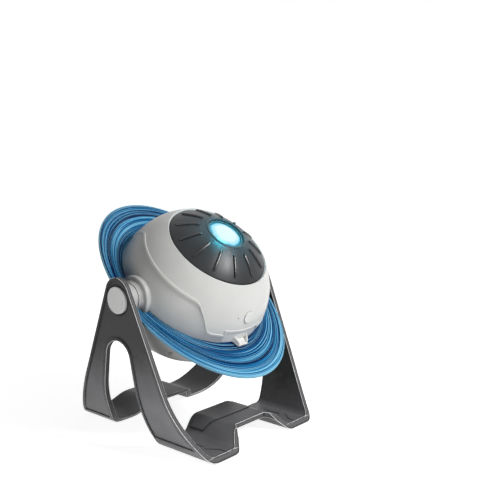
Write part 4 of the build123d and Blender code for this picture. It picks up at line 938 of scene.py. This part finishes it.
def cell_jacket():
    """Plain battery jacket in two bands, with metal ends."""
    f = Finish("cell_jacket", (0.02, 0.05, 0.10), 0.3, coat_weight=0.5)
    share = f.spread(f.parts(f.head_place())["Y"], -0.026, 0.028)
    metal, dark, copper = (0.45, 0.45, 0.44), (0.02, 0.035, 0.06), (0.50, 0.24, 0.08)
    bands = [(0.0, metal), (0.04, dark), (0.70, copper), (0.96, metal)]
    f.link(f.ramp(share, bands, "CONSTANT"), "Base Color")
    scuff = f.noise(f.place(), 240.0, detail=4.0)
    f.link(f.spread(scuff, 0.3, 0.7, 0.22, 0.40), "Roughness")
    f.relief(scuff, GRAIN_DEPTH)
    return f.material


def star_film():
    """Picture disc: a dark sky of small stars on clear film."""
    f = Finish("star_film", (0.01, 0.02, 0.06), 0.12, coat_weight=0.4)
    where = f.head_place()
    star = f.spread(f.spots(where, 420.0), 0.10, 0.22, 1.0, 0.0)
    clouds = f.noise(where, 70.0, detail=5.0, rough=0.6, distortion=0.5)
    sky = f.ramp(
        clouds,
        [(0.35, (0.004, 0.008, 0.03)), (0.55, (0.02, 0.05, 0.14)), (0.75, (0.10, 0.08, 0.2))],
    )
    f.link(f.mix(star, sky, (0.9, 0.92, 0.95)), "Base Color")
    f.link(f.spread(clouds, 0.3, 0.7, 0.08, 0.2), "Roughness")
    f.relief(clouds, 0.00001)
    return f.material


def cast_resin(name, dark, light):
    """Cast lamp resin, a little cloudy and wavy."""
    f = Finish(name, light, 0.14, coat_weight=0.5)
    cloud = f.noise(f.place(), 800.0)
    f.link(f.ramp(cloud, [(0.3, dark), (0.7, light)]), "Base Color")
    f.link(f.spread(cloud, 0.3, 0.7, 0.10, 0.18), "Roughness")
    f.relief(cloud, 0.00001)
    return f.material


class PROJECTOR_OT_works(bpy.types.Operator):
    """Finish the lamp, boards, cells and contacts inside the ball"""

    bl_idname = "projector.works"
    bl_label = "Inner Works"

    def execute(self, context):
        shade_nodes(circuit_board(), "driver_board", "switch_board")
        shade_nodes(
            moulded_plastic("board_white", (0.72, 0.72, 0.70), 0.4, mottle=0.04),
            "led_board",
        )
        shade_nodes(
            brushed_metal("bare_aluminium", (0.78, 0.79, 0.80), 0.35), "heat_sink"
        )
        shade_nodes(
            brushed_metal("plated_contact", (0.70, 0.66, 0.56), 0.25),
            "battery_contacts",
            "battery_springs",
        )
        shade_nodes(cell_jacket(), "aa_cells")
        shade_nodes(star_film(), "disc_film")
        shade_nodes(
            cast_resin("lamp_resin", (0.80, 0.72, 0.25), (0.92, 0.88, 0.5)), "led_emitter"
        )
        shade_nodes(
            cast_resin("indicator_resin", (0.45, 0.03, 0.03), (0.65, 0.08, 0.05)),
            "indicator_led",
        )
        shade_nodes(
            moulded_plastic("switch_black", (0.02, 0.02, 0.021), 0.4),
            "push_switch",
            "switch_plunger",
        )
        return {"FINISHED"}


# ------------------------------------------------------------------ stage


def seen_directly(nodes, links):
    """1 for rays that see the stage: from the camera, off gloss and through glass."""
    path = nodes.new("ShaderNodeLightPath")
    total = path.outputs["Is Camera Ray"]
    for kind in ("Is Glossy Ray", "Is Transmission Ray"):
        add = nodes.new("ShaderNodeMath")
        add.operation = "MAXIMUM"
        links.new(total, add.inputs[0])
        links.new(path.outputs[kind], add.inputs[1])
        total = add.outputs[0]
    return total


def floor_paper():
    """White paper, a little darker near the object than away from it."""
    f = Finish("floor_paper", (0.80, 0.80, 0.80), 0.9, specular_ior_level=0.0)
    cloud = f.noise(f.place(), 3.0)
    f.link(f.ramp(cloud, [(0.3, (0.79, 0.79, 0.79)), (0.7, (0.81, 0.81, 0.81))]), "Base Color")
    f.set("Emission Color", (1, 1, 1, 1))
    near, far, dim = 0.15, 0.7, 0.88
    glow = f.spread(f.length(f.place()), near, far, dim, 1.0)
    lit = f.math("MULTIPLY", seen_directly(f.nodes, f.links), glow)
    f.link(lit, "Emission Strength")
    return f.material


def floor_sheet():
    """Wide flat floor under the object."""
    bm = bmesh.new()
    bmesh.ops.create_grid(bm, x_segments=1, y_segments=1, size=6.0)
    mesh = bpy.data.meshes.new("floor")
    bm.to_mesh(mesh)
    bm.free()
    mesh.materials.append(floor_paper())
    floor = bpy.data.objects.new("floor", mesh)
    bpy.context.scene.collection.objects.link(floor)


def room_light(strength):
    """Surroundings that look white and light the object evenly and weakly."""
    world = bpy.data.worlds.new("studio")
    bpy.context.scene.world = world
    world.use_nodes = True
    nodes, links = world.node_tree.nodes, world.node_tree.links
    background = nodes["Background"]
    background.inputs["Color"].default_value = (1, 1, 1, 1)
    level = nodes.new("ShaderNodeMapRange")
    level.inputs["To Min"].default_value = strength
    level.inputs["To Max"].default_value = 1.0
    links.new(seen_directly(nodes, links), level.inputs["Value"])
    links.new(level.outputs["Result"], background.inputs["Strength"])


def stage_light(name, place, power, size, target=(0.0, 0.0, 0.09)):
    """Round soft lamp that points at a spot on the object."""
    lamp = bpy.data.lights.new(name, "AREA")
    lamp.shape, lamp.size, lamp.energy = "DISK", size, power
    made = bpy.data.objects.new(name, lamp)
    made.location = place
    aim = Vector(target) - Vector(place)
    made.rotation_euler = aim.to_track_quat("-Z", "Y").to_euler()
    bpy.context.scene.collection.objects.link(made)


def stage_camera(stage):
    """Camera at its place, looking along its aim."""
    camera = bpy.data.cameras.new("camera")
    camera.lens = stage.focal_length
    camera.sensor_width = 36.0
    camera.sensor_fit = "HORIZONTAL"
    eye = bpy.data.objects.new("camera", camera)
    eye.location = stage.camera_place
    aim = Vector(stage.camera_aim)
    eye.rotation_euler = aim.to_track_quat("-Z", "Y").to_euler()
    bpy.context.scene.collection.objects.link(eye)
    bpy.context.scene.camera = eye


class PROJECTOR_OT_stage(bpy.types.Operator):
    """Set the floor, the room light, the lamps and the camera"""

    bl_idname = "projector.stage"
    bl_label = "Stage"

    def execute(self, context):
        stage = context.scene.projector_stage
        context.scene.view_settings.view_transform = "Standard"
        floor_sheet()
        room_light(stage.room_light)
        stage_light("key", stage.key_place, stage.key_power, size=0.35)
        stage_light("fill", stage.fill_place, stage.fill_power, size=0.2, target=stage.fill_aim)
        stage_light("top", stage.top_place, stage.top_power, size=0.6)
        stage_camera(stage)
        return {"FINISHED"}


class PROJECTOR_PT_panel(bpy.types.Panel):
    """Lists the projector's settings and its steps"""

    bl_label = "Planetarium Projector"
    bl_space_type = "VIEW_3D"
    bl_region_type = "UI"
    bl_category = "Projector"

    def draw(self, context):
        scene = context.scene
        for title, settings in (
            ("Stand", scene.projector_stand),
            ("Head", scene.projector_head),
            ("Ring", scene.projector_ring),
            ("Lens", scene.projector_lens),
            ("Stage", scene.projector_stage),
        ):
            box = self.layout.box()
            box.label(text=title)
            for key in settings.__annotations__:
                box.prop(settings, key)
        for step in STEPS:
            self.layout.operator(step.bl_idname)


SETTINGS = {
    "projector_stand": StandSettings,
    "projector_head": HeadSettings,
    "projector_ring": RingSettings,
    "projector_lens": LensSettings,
    "projector_stage": StageSettings,
}
STEPS = (
    PROJECTOR_OT_stage,
    PROJECTOR_OT_stand,
    PROJECTOR_OT_hubs,
    PROJECTOR_OT_shells,
    PROJECTOR_OT_ring,
    PROJECTOR_OT_focus_cap,
    PROJECTOR_OT_lenses,
    PROJECTOR_OT_works,
)


def register():
    for name, kind in SETTINGS.items():
        bpy.utils.register_class(kind)
        setattr(bpy.types.Scene, name, PointerProperty(type=kind))
    for kind in STEPS + (PROJECTOR_PT_panel,):
        bpy.utils.register_class(kind)


def unregister():
    for kind in reversed(STEPS + (PROJECTOR_PT_panel,)):
        bpy.utils.unregister_class(kind)
    for name, kind in reversed(SETTINGS.items()):
        delattr(bpy.types.Scene, name)
        bpy.utils.unregister_class(kind)


def main():
    register()
    bpy.ops.projector.stage()
    bpy.ops.projector.stand()
    bpy.ops.projector.hubs()
    bpy.ops.projector.shells()
    bpy.ops.projector.ring()
    bpy.ops.projector.focus_cap()
    bpy.ops.projector.lenses()
    bpy.ops.projector.works()


if __name__ == "__main__":
    main()
